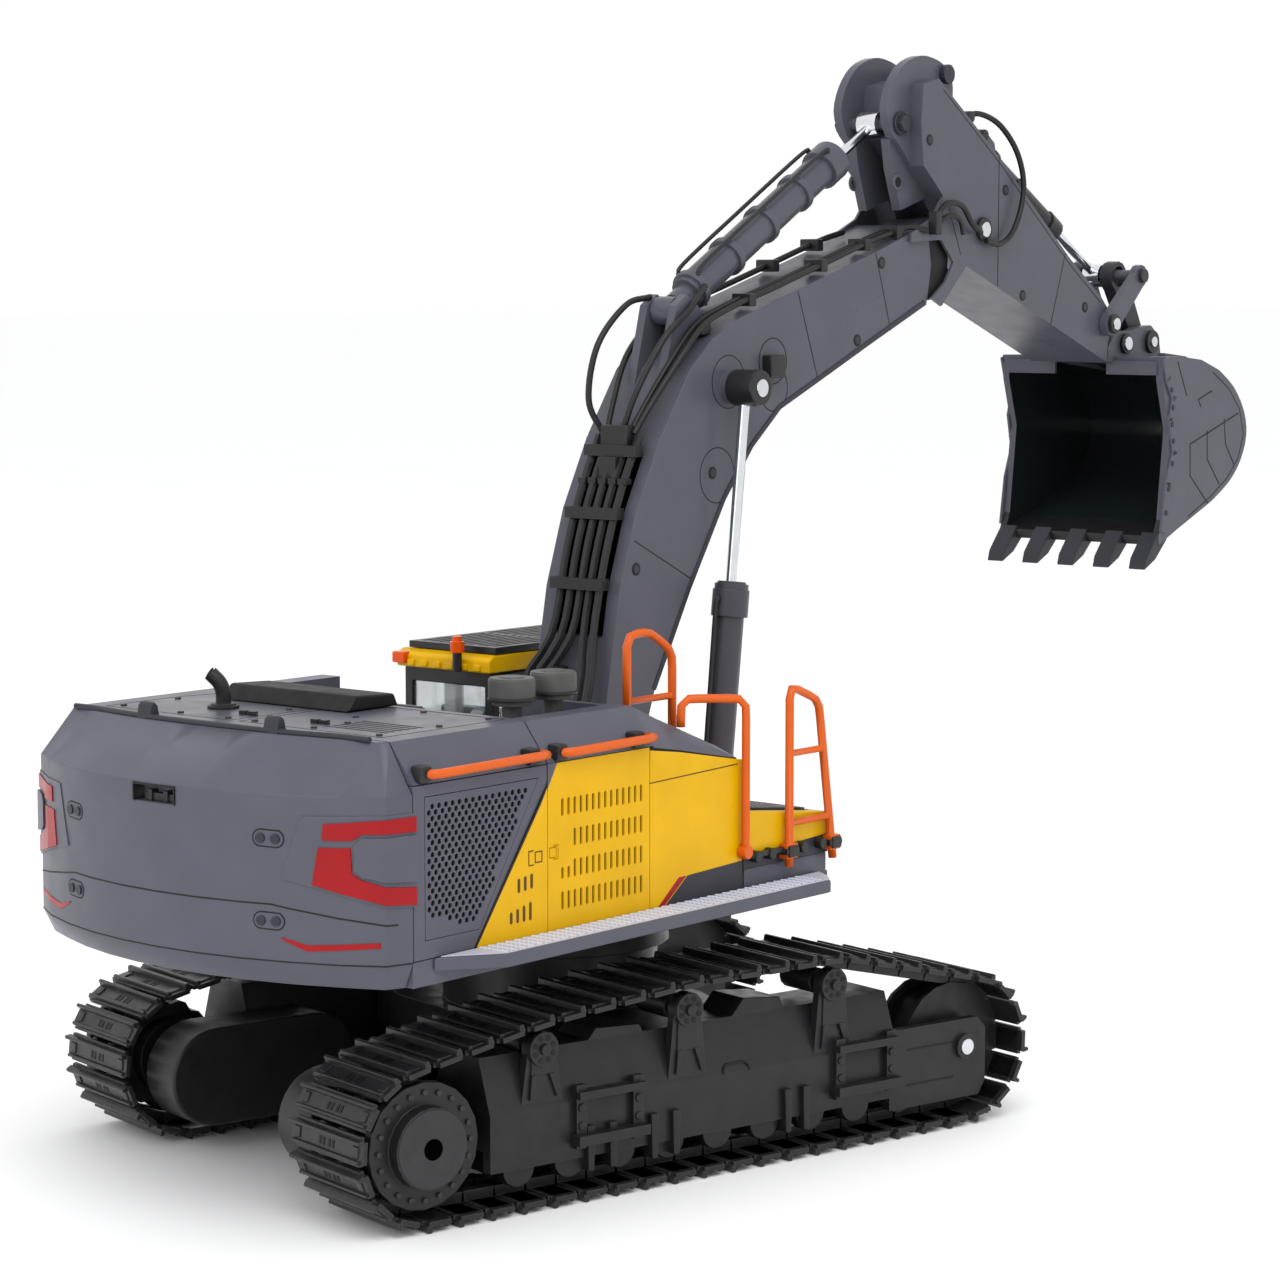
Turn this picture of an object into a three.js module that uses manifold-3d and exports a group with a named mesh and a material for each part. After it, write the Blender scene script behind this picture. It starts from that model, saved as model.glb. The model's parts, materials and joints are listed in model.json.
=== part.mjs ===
// A tracked excavator in the size of a radio-controlled model, in millimetres, +Z up.
// The crawler stands along Y with its front towards -Y. It is drawn about its own centre, and the
// whole is then moved so that the middle of its bounding box is above the origin.
// Everything above the slew ring is drawn straight ahead and then swung to its resting angle.
// Side views are drawn as [forward, up] pairs, where forward is -Y.
import * as THREE from "three";
import { mergeVertices } from "three/addons/utils/BufferGeometryUtils.js";
import Module from "manifold-3d";

const wasm = await Module();
wasm.setup();

// ---- driving dimensions ----
const GAP = 0.3; // between pieces that touch
const RUNNING_CLEARANCE = 0.4; // around pins, on the radius
const SWING = THREE.MathUtils.degToRad(13.4);

const TRACKS_WIDTH = 190; // outside of one track to outside of the other
const SHOE_WIDTH = 41.4;
const WHEEL_BASE = 230; // sprocket centre to idler centre
const BELT_RADIUS = 27.3; // grouser tips round the sprocket and the idler
const SHOE_COUNT = 52;
const GROUSER_HEIGHT = 1.8;
const SHOE_THICKNESS = 2;
const LINK_HEIGHT = 3.6;
const LINK_WIDTH = 12;
const BELT_DEPTH = GROUSER_HEIGHT + SHOE_THICKNESS + LINK_HEIGHT;
const CHORD_SAG = 0.6; // how far a straight link dips inside the round it follows
const TRACK_CENTRE = (TRACKS_WIDTH - SHOE_WIDTH) / 2;
const CARRIER_RADIUS = 4.5;
const CARRIERS = [
  [54, 57],
  [-8.8, 56.5],
  [-68, 51.4],
];
const ROLLER_COUNT = 9;
const ROLLER_PITCH = 20.3;
const ROLLER_RADIUS = 5;
const ROLLER_FIRST = -76.5;
const SPROCKET_TEETH = 13;

const BODY_HALF_WIDTH = 80;
const DECK_HALF_WIDTH = 70.5;
const FRAME_BOTTOM = 77;
const SILL_TOP = 91;
const CREASE_HEIGHT = 145; // where the walls turn in towards the deck
const DECK_HEIGHT = 157.5;
const BODY_REAR = -155.5;
const TAIL_BULGE = 187; // furthest the counterweight reaches behind the slew axis

const BOOM_HALF_WIDTH = 17;
const BOOM_FOOT = [13, 112];
const BOOM_CYLINDER_FOOT = [60.5, 92];
const BOOM_CYLINDER_PIN = [80, 257.5];
const BOOM_CYLINDER_SIDE = 24.5; // from the middle plane to each boom cylinder
const BOOM_CYLINDER_TILT = 83.1; // degrees, shared by barrel and rod
const ARM_CYLINDER_FOOT = [66, 285];
const ARM_CYLINDER_PIN = [192, 356];
const ARM_CYLINDER_TILT = 29.8;
const ARM_PIVOT = [241, 316];
const TONGUE_HALF_WIDTH = 8;
const ARM_HALF_WIDTH = 18;
const NOSE_HALF_WIDTH = 11;
const BUCKET_CYLINDER_FOOT = [262, 350];
const BUCKET_CYLINDER_TILT = -29.6;
const ROCKER_PIVOT = [333, 278];
const ROCKER_TOP = [356, 298];
const LINK_TOP = [357.4, 297.7]; // the link's open eye round the rocker's cross tube
const LINK_PIN = [375, 270];
const BUCKET_PIVOT = [354, 269.5];
const BUCKET_HALF_WIDTH = 39.5;
const BUCKET_WALL = 3;

// ---- materials ----
const finish = (color, roughness, metalness) =>
  new THREE.MeshStandardMaterial({ color, roughness, metalness });
const GREY = finish(0x5f5d69, 0.5, 0.1);
const BLACK = finish(0x2b2b2d, 0.55, 0.1);
const YELLOW = finish(0xf0be0c, 0.45, 0);
const ORANGE = finish(0xee6e2c, 0.45, 0);
const CHROME = finish(0xdfe2e6, 0.15, 1);
const STEEL = finish(0x8f9296, 0.4, 0.9);
const RUBBER = finish(0x1b1b1c, 0.8, 0);

// ---- solids ----
function solid(geometry) {
  const bare = geometry.clone();
  bare.deleteAttribute("normal");
  bare.deleteAttribute("uv");
  const merged = mergeVertices(bare, 1e-4);
  return new wasm.Manifold(
    new wasm.Mesh({
      numProp: 3,
      vertProperties: merged.attributes.position.array,
      triVerts: new Uint32Array(merged.index.array),
    }),
  );
}

function geometryOf(body) {
  const mesh = body.getMesh();
  return new THREE.BufferGeometry()
    .setAttribute("position", new THREE.BufferAttribute(mesh.vertProperties, 3))
    .setIndex(new THREE.BufferAttribute(mesh.triVerts, 1));
}

const join = (...bodies) => bodies.reduce((sum, body) => sum.add(body));
const cut = (body, ...tools) => tools.reduce((rest, tool) => rest.subtract(tool), body);

function box(x0, x1, forward0, forward1, up0, up1) {
  return solid(
    new THREE.BoxGeometry(x1 - x0, forward1 - forward0, up1 - up0).translate(
      (x0 + x1) / 2,
      -(forward0 + forward1) / 2,
      (up0 + up1) / 2,
    ),
  );
}

// A side-view shape, given a thickness from x0 to x1.
const SIDE_VIEW = new THREE.Matrix4().makeBasis(
  new THREE.Vector3(0, -1, 0),
  new THREE.Vector3(0, 0, 1),
  new THREE.Vector3(-1, 0, 0),
);

function extrudeSide(shape, x0, x1, curveSegments = 10) {
  const geometry = new THREE.ExtrudeGeometry(shape, {
    depth: x1 - x0,
    bevelEnabled: false,
    curveSegments,
  });
  return solid(geometry.applyMatrix4(SIDE_VIEW).translate(x1, 0, 0));
}

const shapeOf = (points) => new THREE.Shape(points.map(([a, b]) => new THREE.Vector2(a, b)));
const sidePlate = (points, x0, x1) => extrudeSide(shapeOf(points), x0, x1);

// A smooth line through points of a side view.
const curved = (points, steps = 3) =>
  new THREE.SplineCurve(points.map(([a, b]) => new THREE.Vector2(a, b)))
    .getPoints((points.length - 1) * steps)
    .map(({ x, y }) => [x, y]);

// A disc across the machine, centred on a side-view point.
function disc([forward, up], radius, x0, x1, sides = 12) {
  return solid(
    new THREE.CylinderGeometry(radius, radius, x1 - x0, sides)
      .rotateZ(Math.PI / 2)
      .translate((x0 + x1) / 2, -forward, up),
  );
}

// An upright drum.
function drum(x, forward, radius, up0, up1, sides = 20) {
  return solid(
    new THREE.CylinderGeometry(radius, radius, up1 - up0, sides)
      .rotateX(Math.PI / 2)
      .translate(x, -forward, (up0 + up1) / 2),
  );
}

// A turned piece about a line across the machine: the profile is [radius, x] pairs in a closed loop.
function turned([forward, up], profile, sides = 16) {
  const loop = [...profile, profile[0]].map(([radius, x]) => new THREE.Vector2(radius, x));
  return solid(
    new THREE.LatheGeometry(loop, sides).rotateZ(-Math.PI / 2).translate(0, -forward, up),
  );
}

// A plan-view shape, [x, forward] pairs, given a height from up0 to up1.
function slab(points, up0, up1) {
  const shape = new THREE.Shape(points.map(([x, forward]) => new THREE.Vector2(x, -forward)));
  const geometry = new THREE.ExtrudeGeometry(shape, { depth: up1 - up0, bevelEnabled: false });
  return solid(geometry.translate(0, 0, up0));
}

const at = (x, forward, up) => new THREE.Vector3(x, -forward, up);

// A skin through rings of equal point count; the end rings are flat and close the body.
function loft(given) {
  const count = given[0].length;
  const upright = given[0].every((point) => Math.abs(point.y - given[0][0].y) < 1e-6);
  const flat = (point) => new THREE.Vector2(point.x, upright ? point.z : point.y);
  const clockwise = THREE.ShapeUtils.isClockWise(given[0].map(flat));
  const rings = clockwise ? given.map((ring) => [...ring].reverse()) : given;
  const cap = (ring) => THREE.ShapeUtils.triangulateShape(ring.map(flat), []);
  const last = (rings.length - 1) * count;
  const faces = [];
  cap(rings[0]).forEach(([a, b, c]) => faces.push([a, b, c]));
  cap(rings[rings.length - 1]).forEach(([a, b, c]) => faces.push([last + a, last + c, last + b]));
  for (let ring = 0; ring < rings.length - 1; ring++)
    for (let i = 0; i < count; i++) {
      const a = ring * count + i;
      const b = ring * count + ((i + 1) % count);
      faces.push([a, b + count, b], [a, a + count, b + count]);
    }
  const positions = rings.flat().flatMap((point) => point.toArray());
  const skin = (order) => {
    const geometry = new THREE.BufferGeometry();
    geometry.setAttribute("position", new THREE.Float32BufferAttribute(positions, 3));
    geometry.setIndex(faces.flatMap(order));
    return solid(geometry);
  };
  const body = skin(([a, b, c]) => [a, b, c]);
  return body.volume() > 0 ? body : skin(([a, b, c]) => [a, c, b]);
}

// A round bar that follows straight runs with rounded corners.
function bentBar(points, radius, bend, sides = 6) {
  const path = new THREE.CurvePath();
  let start = points[0];
  points.slice(1, -1).forEach((corner, i) => {
    const next = points[i + 2];
    const before = corner.clone().add(start.clone().sub(corner).setLength(bend));
    const after = corner.clone().add(next.clone().sub(corner).setLength(bend));
    path.add(new THREE.LineCurve3(start, before));
    path.add(new THREE.QuadraticBezierCurve3(before, corner, after));
    start = after;
  });
  path.add(new THREE.LineCurve3(start, points[points.length - 1]));
  return sweep(path, radius, sides, Math.round(path.getLength() / (radius * 2.4)));
}

function sweep(path, radius, sides, steps) {
  const section = new THREE.Shape();
  section.absarc(0, 0, radius, 0, Math.PI * 2);
  const ring = new THREE.Shape(section.getSpacedPoints(sides).slice(0, sides));
  return solid(
    new THREE.ExtrudeGeometry(ring, { extrudePath: path, steps, bevelEnabled: false }),
  );
}

const smooth = (points) => new THREE.CatmullRomCurve3(points, false, "centripetal");

// A hydraulic cylinder in a side view: its frame runs along the axis from the foot.
function along([forward, up], degrees) {
  const angle = THREE.MathUtils.degToRad(degrees);
  return (distance, lift = 0) => [
    forward + Math.cos(angle) * distance - Math.sin(angle) * lift,
    up + Math.sin(angle) * distance + Math.cos(angle) * lift,
  ];
}

// A round bar from one side-view point to another, at x.
function bar(x, from, to, radius, sides = 12) {
  const a = at(x, ...from);
  const b = at(x, ...to);
  const turn = new THREE.Quaternion().setFromUnitVectors(
    new THREE.Vector3(0, 1, 0),
    b.clone().sub(a).normalize(),
  );
  const middle = a.clone().add(b).multiplyScalar(0.5);
  return solid(
    new THREE.CylinderGeometry(radius, radius, a.distanceTo(b), sides)
      .applyQuaternion(turn)
      .translate(...middle.toArray()),
  );
}

// Barrel: an eye at the foot, a tube open at its far end and a thicker gland ring.
function barrel(x, foot, tilt, size) {
  const on = along(foot, tilt);
  const { length, radius, bore, eyeRadius, eyeHalf, pinRadius, neck } = size;
  const floor = neck + 6;
  const body = join(
    disc(foot, eyeRadius, x - eyeHalf, x + eyeHalf),
    bar(x, on(eyeRadius * 0.8), on(neck + 2), eyeHalf),
    bar(x, on(neck), on(length), radius),
    bar(x, on(length - 8), on(length), radius + 0.8),
  );
  return cut(
    body,
    bar(x, on(floor), on(length + 5), bore, 16),
    disc(foot, pinRadius + RUNNING_CLEARANCE, x - eyeHalf - 1, x + eyeHalf + 1),
  );
}

// Rod: an eye on the pin and a polished bar that reaches back into the barrel.
function pistonRod(x, pin, tilt, size) {
  const on = along(pin, tilt + 180);
  const { rodLength, rodRadius, eyeRadius, eyeHalf, pinRadius } = size;
  const body = join(
    disc(pin, eyeRadius, x - eyeHalf, x + eyeHalf),
    bar(x, on(eyeRadius * 0.6), on(rodLength), rodRadius),
  );
  return cut(body, disc(pin, pinRadius + RUNNING_CLEARANCE, x - eyeHalf - 1, x + eyeHalf + 1));
}

// ---- the assembly ----
const excavator = new THREE.Group();
const upperWorks = new THREE.Group();
upperWorks.rotation.z = SWING;
excavator.add(upperWorks);

function place(group, name, body, material) {
  const mesh = new THREE.Mesh(geometryOf(body), material);
  mesh.name = name;
  group.add(mesh);
}

// ---- crawler ----
const IDLER = [WHEEL_BASE / 2, BELT_RADIUS];
const SPROCKET = [-WHEEL_BASE / 2, BELT_RADIUS];

// The line of the grouser tips, round the idler, over the carrier rollers and round the sprocket.
function beltLine() {
  const wheels = [
    [...IDLER, BELT_RADIUS],
    ...CARRIERS.map(([forward, up]) => [forward, up, CARRIER_RADIUS + BELT_DEPTH + GAP]),
    [...SPROCKET, BELT_RADIUS],
  ];
  const leaving = wheels.map(([fa, ua, ra], i) => {
    const [fb, ub, rb] = wheels[(i + 1) % wheels.length];
    const run = Math.hypot(fb - fa, ub - ua);
    return Math.atan2(ub - ua, fb - fa) - Math.PI / 2 + Math.asin((ra - rb) / run);
  });
  const path = new THREE.Path();
  wheels.forEach(([forward, up, radius], i) => {
    const arriving = leaving[(i + wheels.length - 1) % wheels.length];
    path.absarc(forward, up, radius, arriving, leaving[i], false);
  });
  path.closePath();
  return path;
}

function beltPoint(path, share, depth) {
  const u = ((share % 1) + 1) % 1;
  const point = path.getPointAt(u);
  const tangent = path.getTangentAt(u);
  return [point.x - tangent.y * depth, point.y + tangent.x * depth];
}

function beltRing(path, outerDepth, innerDepth, count) {
  const shares = Array.from({ length: count }, (_, i) => i / count);
  const ring = shapeOf(shares.map((share) => beltPoint(path, share, outerDepth)));
  ring.holes.push(shapeOf(shares.map((share) => beltPoint(path, share, innerDepth))));
  return ring;
}

function trackChain(side) {
  const path = beltLine();
  const pitch = 1 / SHOE_COUNT;
  const outline = [];
  for (let shoe = 0; shoe < SHOE_COUNT; shoe++) {
    const start = shoe * pitch;
    outline.push(beltPoint(path, start, GROUSER_HEIGHT));
    outline.push(beltPoint(path, start + pitch * 0.1, 0));
    outline.push(beltPoint(path, start + pitch * 0.3, 0));
    outline.push(beltPoint(path, start + pitch * 0.38, GROUSER_HEIGHT));
  }
  const shoes = shapeOf(outline);
  const inner = Array.from({ length: SHOE_COUNT }, (_, i) =>
    beltPoint(path, i * pitch, GROUSER_HEIGHT + SHOE_THICKNESS),
  );
  shoes.holes.push(shapeOf(inner));
  const links = beltRing(path, GROUSER_HEIGHT + 1, BELT_DEPTH, SHOE_COUNT);
  const centre = side * TRACK_CENTRE;
  return join(
    extrudeSide(shoes, centre - SHOE_WIDTH / 2, centre + SHOE_WIDTH / 2),
    extrudeSide(links, centre - LINK_WIDTH / 2, centre + LINK_WIDTH / 2),
  );
}

// Across one track, distances are measured from its middle, outwards.
function across(side) {
  return (from, to) => {
    const a = side * (TRACK_CENTRE + from);
    const b = side * (TRACK_CENTRE + to);
    return [Math.min(a, b), Math.max(a, b)];
  };
}

const HUB_RADIUS = 13.3;
const SPINDLE_RADIUS = 5;

function sprocket(side) {
  const span = across(side);
  const root = BELT_RADIUS - BELT_DEPTH - 2.4;
  const tip = BELT_RADIUS - BELT_DEPTH - CHORD_SAG - GAP;
  const toothed = [];
  for (let tooth = 0; tooth < SPROCKET_TEETH; tooth++)
    [
      [0, root],
      [0.3, tip],
      [0.6, tip],
      [0.9, root],
    ].forEach(([share, radius]) => {
      const angle = ((tooth + share) / SPROCKET_TEETH) * Math.PI * 2;
      toothed.push([
        SPROCKET[0] + Math.cos(angle) * radius,
        SPROCKET[1] + Math.sin(angle) * radius,
      ]);
    });
  const wheel = join(
    sidePlate(toothed, ...span(-4, 4)),
    disc(SPROCKET, HUB_RADIUS, ...span(-10, 22.3), 20),
    disc(SPROCKET, 20.5, ...span(14, 17.5), 20),
  );
  return cut(wheel, disc(SPROCKET, SPINDLE_RADIUS + RUNNING_CLEARANCE, ...span(-12, 6)));
}

function driveMotor(side) {
  const span = across(side);
  const [rear, front] = [-133, -60];
  const casing = new THREE.Shape();
  const radius = 17;
  const middle = 26;
  casing.absarc(rear + radius, middle, radius, Math.PI / 2, Math.PI * 1.5, false);
  casing.absarc(front - radius, middle, radius, -Math.PI / 2, Math.PI / 2, false);
  return join(
    extrudeSide(casing, ...span(-41, -21.5), 8),
    disc(SPROCKET, SPINDLE_RADIUS, ...span(-22, 5)),
    box(...span(-23, -17.4), -86, -64, 16, 33),
  );
}

const IDLER_PIN_RADIUS = 3;

function idler(side) {
  const span = across(side);
  const tread = BELT_RADIUS - BELT_DEPTH - CHORD_SAG - GAP;
  const flange = tread + 2.6;
  const bore = IDLER_PIN_RADIUS + RUNNING_CLEARANCE;
  const [near, far] = span(-9.5, 9.5);
  const profile = [
    [bore, near],
    [9, near],
    [9, near + 1.5],
    [flange, near + 1.5],
    [flange, near + 3],
    [tread, near + 3],
    [tread, far - 3],
    [flange, far - 3],
    [flange, far - 1.5],
    [9, far - 1.5],
    [9, far],
    [bore, far],
  ];
  return turned(IDLER, profile, 18);
}

const SIDE_FRAME_REAR = -88.5;
const SIDE_FRAME_FRONT = 83;

function trackFrame(side) {
  const span = across(side);
  const wall = side * TRACK_CENTRE;
  const section = [
    [-17, 13.5],
    [-17, 33],
    [-11, 50],
    [9, 50],
    [15.5, 32],
    [15.5, 13.5],
    [11.5, 13.5],
    [11.5, 20],
    [-11.5, 20],
    [-11.5, 13.5],
  ];
  const ring = (forward) => section.map(([out, up]) => at(wall + side * out, forward, up));
  const blocks = CARRIERS.map(([forward]) => box(...span(6, 13), forward - 5, forward + 5, 36, 49));
  const notches = CARRIERS.map((centre) => disc(centre, CARRIER_RADIUS + 0.7, ...span(-8.6, 8.6)));
  const beam = cut(join(loft([ring(SIDE_FRAME_REAR), ring(SIDE_FRAME_FRONT)]), ...blocks), ...notches);
  const yoke = [
    [SIDE_FRAME_FRONT - 3, 9],
    [122, 9],
    [125, 14],
    [125, 33],
    [121, 37],
    [SIDE_FRAME_FRONT - 3, 37],
  ];
  const pieces = [
    beam,
    sidePlate(yoke, ...span(12, 15.5)),
    sidePlate(yoke, ...span(-17, -13.5)),
    disc(IDLER, IDLER_PIN_RADIUS, ...span(-15, 16.6), 12),
    disc(IDLER, 4.5, ...span(15, 17), 12),
  ];
  for (const [forward, up] of CARRIERS) {
    const bracket = [
      [forward - 8, 34],
      [forward + 8, 34],
      [forward + 5.5, up],
      [forward - 5.5, up],
    ];
    pieces.push(sidePlate(bracket, ...span(12, 15)));
    pieces.push(disc([forward, up], 6, ...span(12, 15.8), 10));
    pieces.push(disc([forward, up], 1.6, ...span(-9, 14), 8));
  }
  for (const middle of [67.5, -42.5]) pieces.push(...stepBracket(span, middle));
  for (let i = 0; i < ROLLER_COUNT; i++)
    pieces.push(disc([ROLLER_FIRST + i * ROLLER_PITCH, 12.9], ROLLER_RADIUS, ...span(-12, 12), 8));
  return join(...pieces);
}

// A side-frame step: two posts and two rungs, on the outer face.
function stepBracket(span, middle) {
  const half = 13.5;
  return [
    box(...span(15, 17.6), middle - half, middle - half + 4, 17, 38),
    box(...span(15, 17.6), middle + half - 4, middle + half, 17, 38),
    box(...span(15, 19.6), middle - half, middle + half, 19, 21.5),
    box(...span(15, 19.6), middle - half, middle + half, 33.5, 36),
  ];
}

function carrierRoller(side, centre) {
  const span = across(side);
  const [near, far] = span(-8, 8);
  const bore = 1.6 + GAP;
  return turned(centre, [[bore, near], [CARRIER_RADIUS, near], [CARRIER_RADIUS, far], [bore, far]], 12);
}

function centreFrame() {
  const plan = [
    [-56.9, 36],
    [-30, 44],
    [30, 44],
    [56.9, 36],
    [56.9, -36],
    [30, -44],
    [-30, -44],
    [-56.9, -36],
  ];
  return join(slab(plan, 24, 46), drum(0, 0, 38, 45, 66, 24));
}

for (const [side, suffix] of [
  [-1, "right"],
  [1, "left"],
]) {
  place(excavator, `track_frame_${suffix}`, trackFrame(side), BLACK);
  place(excavator, `track_chain_${suffix}`, trackChain(side), BLACK);
  place(excavator, `drive_motor_${suffix}`, driveMotor(side), BLACK);
  place(excavator, `sprocket_${suffix}`, sprocket(side), BLACK);
  place(excavator, `idler_${suffix}`, idler(side), BLACK);
  CARRIERS.forEach((centre, i) =>
    place(excavator, `carrier_roller_${suffix}_${i + 1}`, carrierRoller(side, centre), BLACK),
  );
}
place(excavator, "centre_frame", centreFrame(), BLACK);
place(excavator, "slew_ring", cut(drum(0, 0, 42, 66.3, 76.6, 24), drum(0, 0, 30, 60, 80, 20)), STEEL);

// ---- upper works: frame and covers ----
const WALL = 2;
const WALL_OUT = BODY_HALF_WIDTH;
const EAR_INNER = BOOM_HALF_WIDTH + 0.6;
const EAR_OUTER = 20.6;
const OUTER_BRACKET = 28.4;

function revolvingFrame() {
  const sill = WALL_OUT - 0.5;
  const well = EAR_OUTER + GAP;
  const base = cut(
    join(
      box(-sill, sill, BODY_REAR, 56, 83, SILL_TOP),
      box(-48, 48, -110, 52, FRAME_BOTTOM, 84),
      box(-sill, -34, 8.3, 55, 90, 97.6),
    ),
    box(-EAR_INNER, EAR_INNER, -12, 60, 86, 120),
    box(-OUTER_BRACKET + GAP, -well, 50, 60, 84.5, 120),
    box(well, OUTER_BRACKET - GAP, 50, 60, 84.5, 120),
  );
  const ear = [
    [-14, 90],
    [68, 90],
    [67.5, 94],
    [60.5, 99],
    [50, 96],
    [30, 97],
    [22, 116],
    [17, 121],
    [9, 121],
    [2, 114],
  ];
  const outer = [
    [50, 90],
    [68, 90],
    [67.5, 94],
    [60.5, 99],
    [53, 95],
  ];
  const pieces = [base, disc(BOOM_FOOT, 4, -EAR_OUTER, EAR_OUTER)];
  for (const side of [-1, 1]) {
    const span = (from, to) => (side > 0 ? [from, to] : [-to, -from]);
    pieces.push(sidePlate(ear, ...span(EAR_INNER, EAR_OUTER)));
    pieces.push(sidePlate(outer, ...span(OUTER_BRACKET, 31)));
    pieces.push(disc(BOOM_CYLINDER_FOOT, 3, ...span(EAR_OUTER - 1, 31.6)));
  }
  return join(...pieces);
}

// The tail's plan outline: straight across its front, rounded corners and a bowed rear.
function tailRing(up, half, corner, tail) {
  const front = BODY_REAR - GAP;
  const bow = tail - corner;
  const chord = half - 15;
  const radius = (chord * chord + bow * bow) / (2 * bow);
  const sweepAngle = Math.asin(chord / radius);
  const shoulder = front - (corner + front) * 0.55;
  const points = [at(half, front, up), at(half - 2.5, shoulder, up)];
  const steps = 8;
  for (let i = 0; i <= steps; i++) {
    const angle = sweepAngle * (1 - (2 * i) / steps);
    points.push(at(radius * Math.sin(angle), -(tail - radius + radius * Math.cos(angle)), up));
  }
  points.push(at(-half + 2.5, shoulder, up), at(-half, front, up));
  return points;
}

function counterweight() {
  const body = loft([
    tailRing(83, 77, 168, 181),
    tailRing(91, WALL_OUT, 172.5, TAIL_BULGE),
    tailRing(142, WALL_OUT, 172.5, TAIL_BULGE),
    tailRing(DECK_HEIGHT, DECK_HALF_WIDTH, 161, 166),
  ]);
  return cut(body, box(-9, 9, -190, -182.5, 136, 141));
}

const SIDE_HOOD_INNER = 23;

// The deck over the engine ends at a step; in front of it a sunken well reaches to the side hoods.
const WELL_REAR = -90;
const WELL_FRONT = -41;
const WELL_FLOOR = 145;
const WELL_HALF_WIDTH = 62;

function engineHood() {
  const slope = [
    [-WALL_OUT + WALL, CREASE_HEIGHT],
    [-WALL_OUT, CREASE_HEIGHT],
    [-DECK_HALF_WIDTH, DECK_HEIGHT],
  ];
  const farSlope = slope.map(([x, up]) => [-x, up]).reverse();
  const underside = DECK_HEIGHT - WALL;
  const edge = DECK_HALF_WIDTH - 1;
  const wall = WELL_HALF_WIDTH;
  const bottom = WELL_FLOOR - WALL;
  const raised = [...slope, ...farSlope, [edge, underside], [-edge, underside]];
  const sunken = [
    ...slope,
    [-wall, DECK_HEIGHT],
    [-wall, WELL_FLOOR],
    [wall, WELL_FLOOR],
    [wall, DECK_HEIGHT],
    ...farSlope,
    [edge, underside],
    [wall + WALL, underside],
    [wall + WALL, bottom],
    [-wall - WALL, bottom],
    [-wall - WALL, underside],
    [-edge, underside],
  ];
  const hood = (outline, rear, front) =>
    loft([rear, front].map((forward) => outline.map(([x, up]) => at(x, forward, up))));
  return join(
    hood(raised, BODY_REAR, WELL_REAR),
    hood(sunken, WELL_REAR - 0.01, WELL_FRONT),
    box(-wall - 1, wall + 1, WELL_REAR - WALL, WELL_REAR, bottom, DECK_HEIGHT - 1),
    box(-wall - 1, -SIDE_HOOD_INNER, WELL_FRONT - WALL, WELL_FRONT, bottom, DECK_HEIGHT - 0.5),
    box(SIDE_HOOD_INNER, wall + 1, WELL_FRONT - WALL, WELL_FRONT, bottom, 150),
  );
}

// The hood beside the boom: its top falls away towards the front.
function sideHood(side, tops) {
  const ring = ([forward, top, crease]) =>
    [
      [WALL_OUT, crease],
      [DECK_HALF_WIDTH, top],
      [SIDE_HOOD_INNER, top],
      [SIDE_HOOD_INNER, crease - 6],
      [SIDE_HOOD_INNER + WALL, crease - 6],
      [SIDE_HOOD_INNER + WALL, top - WALL],
      [DECK_HALF_WIDTH - 1, top - WALL],
      [WALL_OUT - WALL, crease],
    ].map(([out, up]) => at(side * out, forward, up));
  return loft(tops.map(ring));
}

const HOOD_FRONT = 4;
const RIGHT_FALL = [
  [-40.7, 157.2, 144.3],
  [-26.7, 151.4, 142],
  [HOOD_FRONT, 139.5, 136],
];
const LEFT_FALL = [
  [-40.7, 150, 141],
  [-30, 144, 139],
  [HOOD_FRONT, 141, 136],
];

const door = (side, rear, front, top) => {
  const span = side > 0 ? [WALL_OUT - WALL, WALL_OUT] : [-WALL_OUT, -WALL_OUT + WALL];
  return box(...span, rear, front, SILL_TOP + GAP, top);
};

// The mesh panel sits in a shallow recess of the rear door.
function grilleDoor() {
  const recess = [
    [-150.6, 97],
    [-126, 97],
    [-98, 141],
    [-150.6, 141],
  ];
  const plate = door(-1, BODY_REAR, -94.2, CREASE_HEIGHT - GAP);
  return cut(plate, sidePlate(recess, -WALL_OUT - 1, -WALL_OUT + 1));
}

function frontCover(side, fall) {
  const outline = [
    [-42.8, SILL_TOP + GAP],
    [HOOD_FRONT + 1.3, SILL_TOP + GAP],
    [HOOD_FRONT + 1.3, 135.5],
    [-26.7, fall[1][2] - 0.6],
    [-42.8, fall[0][2] - 0.6],
  ];
  const wall = side > 0 ? [WALL_OUT - WALL, WALL_OUT] : [-WALL_OUT, -WALL_OUT + WALL];
  const nose = [
    [HOOD_FRONT + GAP, SILL_TOP + GAP],
    [HOOD_FRONT + GAP + WALL, SILL_TOP + GAP],
    [HOOD_FRONT + GAP + WALL, 135.5],
    [HOOD_FRONT + GAP, 135.5],
  ];
  const width = side > 0 ? [SIDE_HOOD_INNER, WALL_OUT] : [-WALL_OUT, -SIDE_HOOD_INNER];
  return join(sidePlate(outline, ...wall), sidePlate(nose, ...width));
}

function sideStep(side) {
  const inner = WALL_OUT;
  const plan = [
    [inner, -147],
    [93.5, -128],
    [93.5, 39],
    [inner, 51],
  ].map(([out, forward]) => [side * out, forward]);
  return slab(side > 0 ? plan : plan.reverse(), 87, 91.3);
}

function frontPlatform() {
  const top = [
    [7.2, 98],
    [55, 98],
    [55, 112],
    [7.2, 117.6],
  ];
  const hollow = [
    [9.2, 90],
    [53, 90],
    [53, 109.8],
    [9.2, 115.4],
  ];
  return cut(sidePlate(top, -WALL_OUT, -34), sidePlate(hollow, -WALL_OUT + WALL, -36));
}

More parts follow.
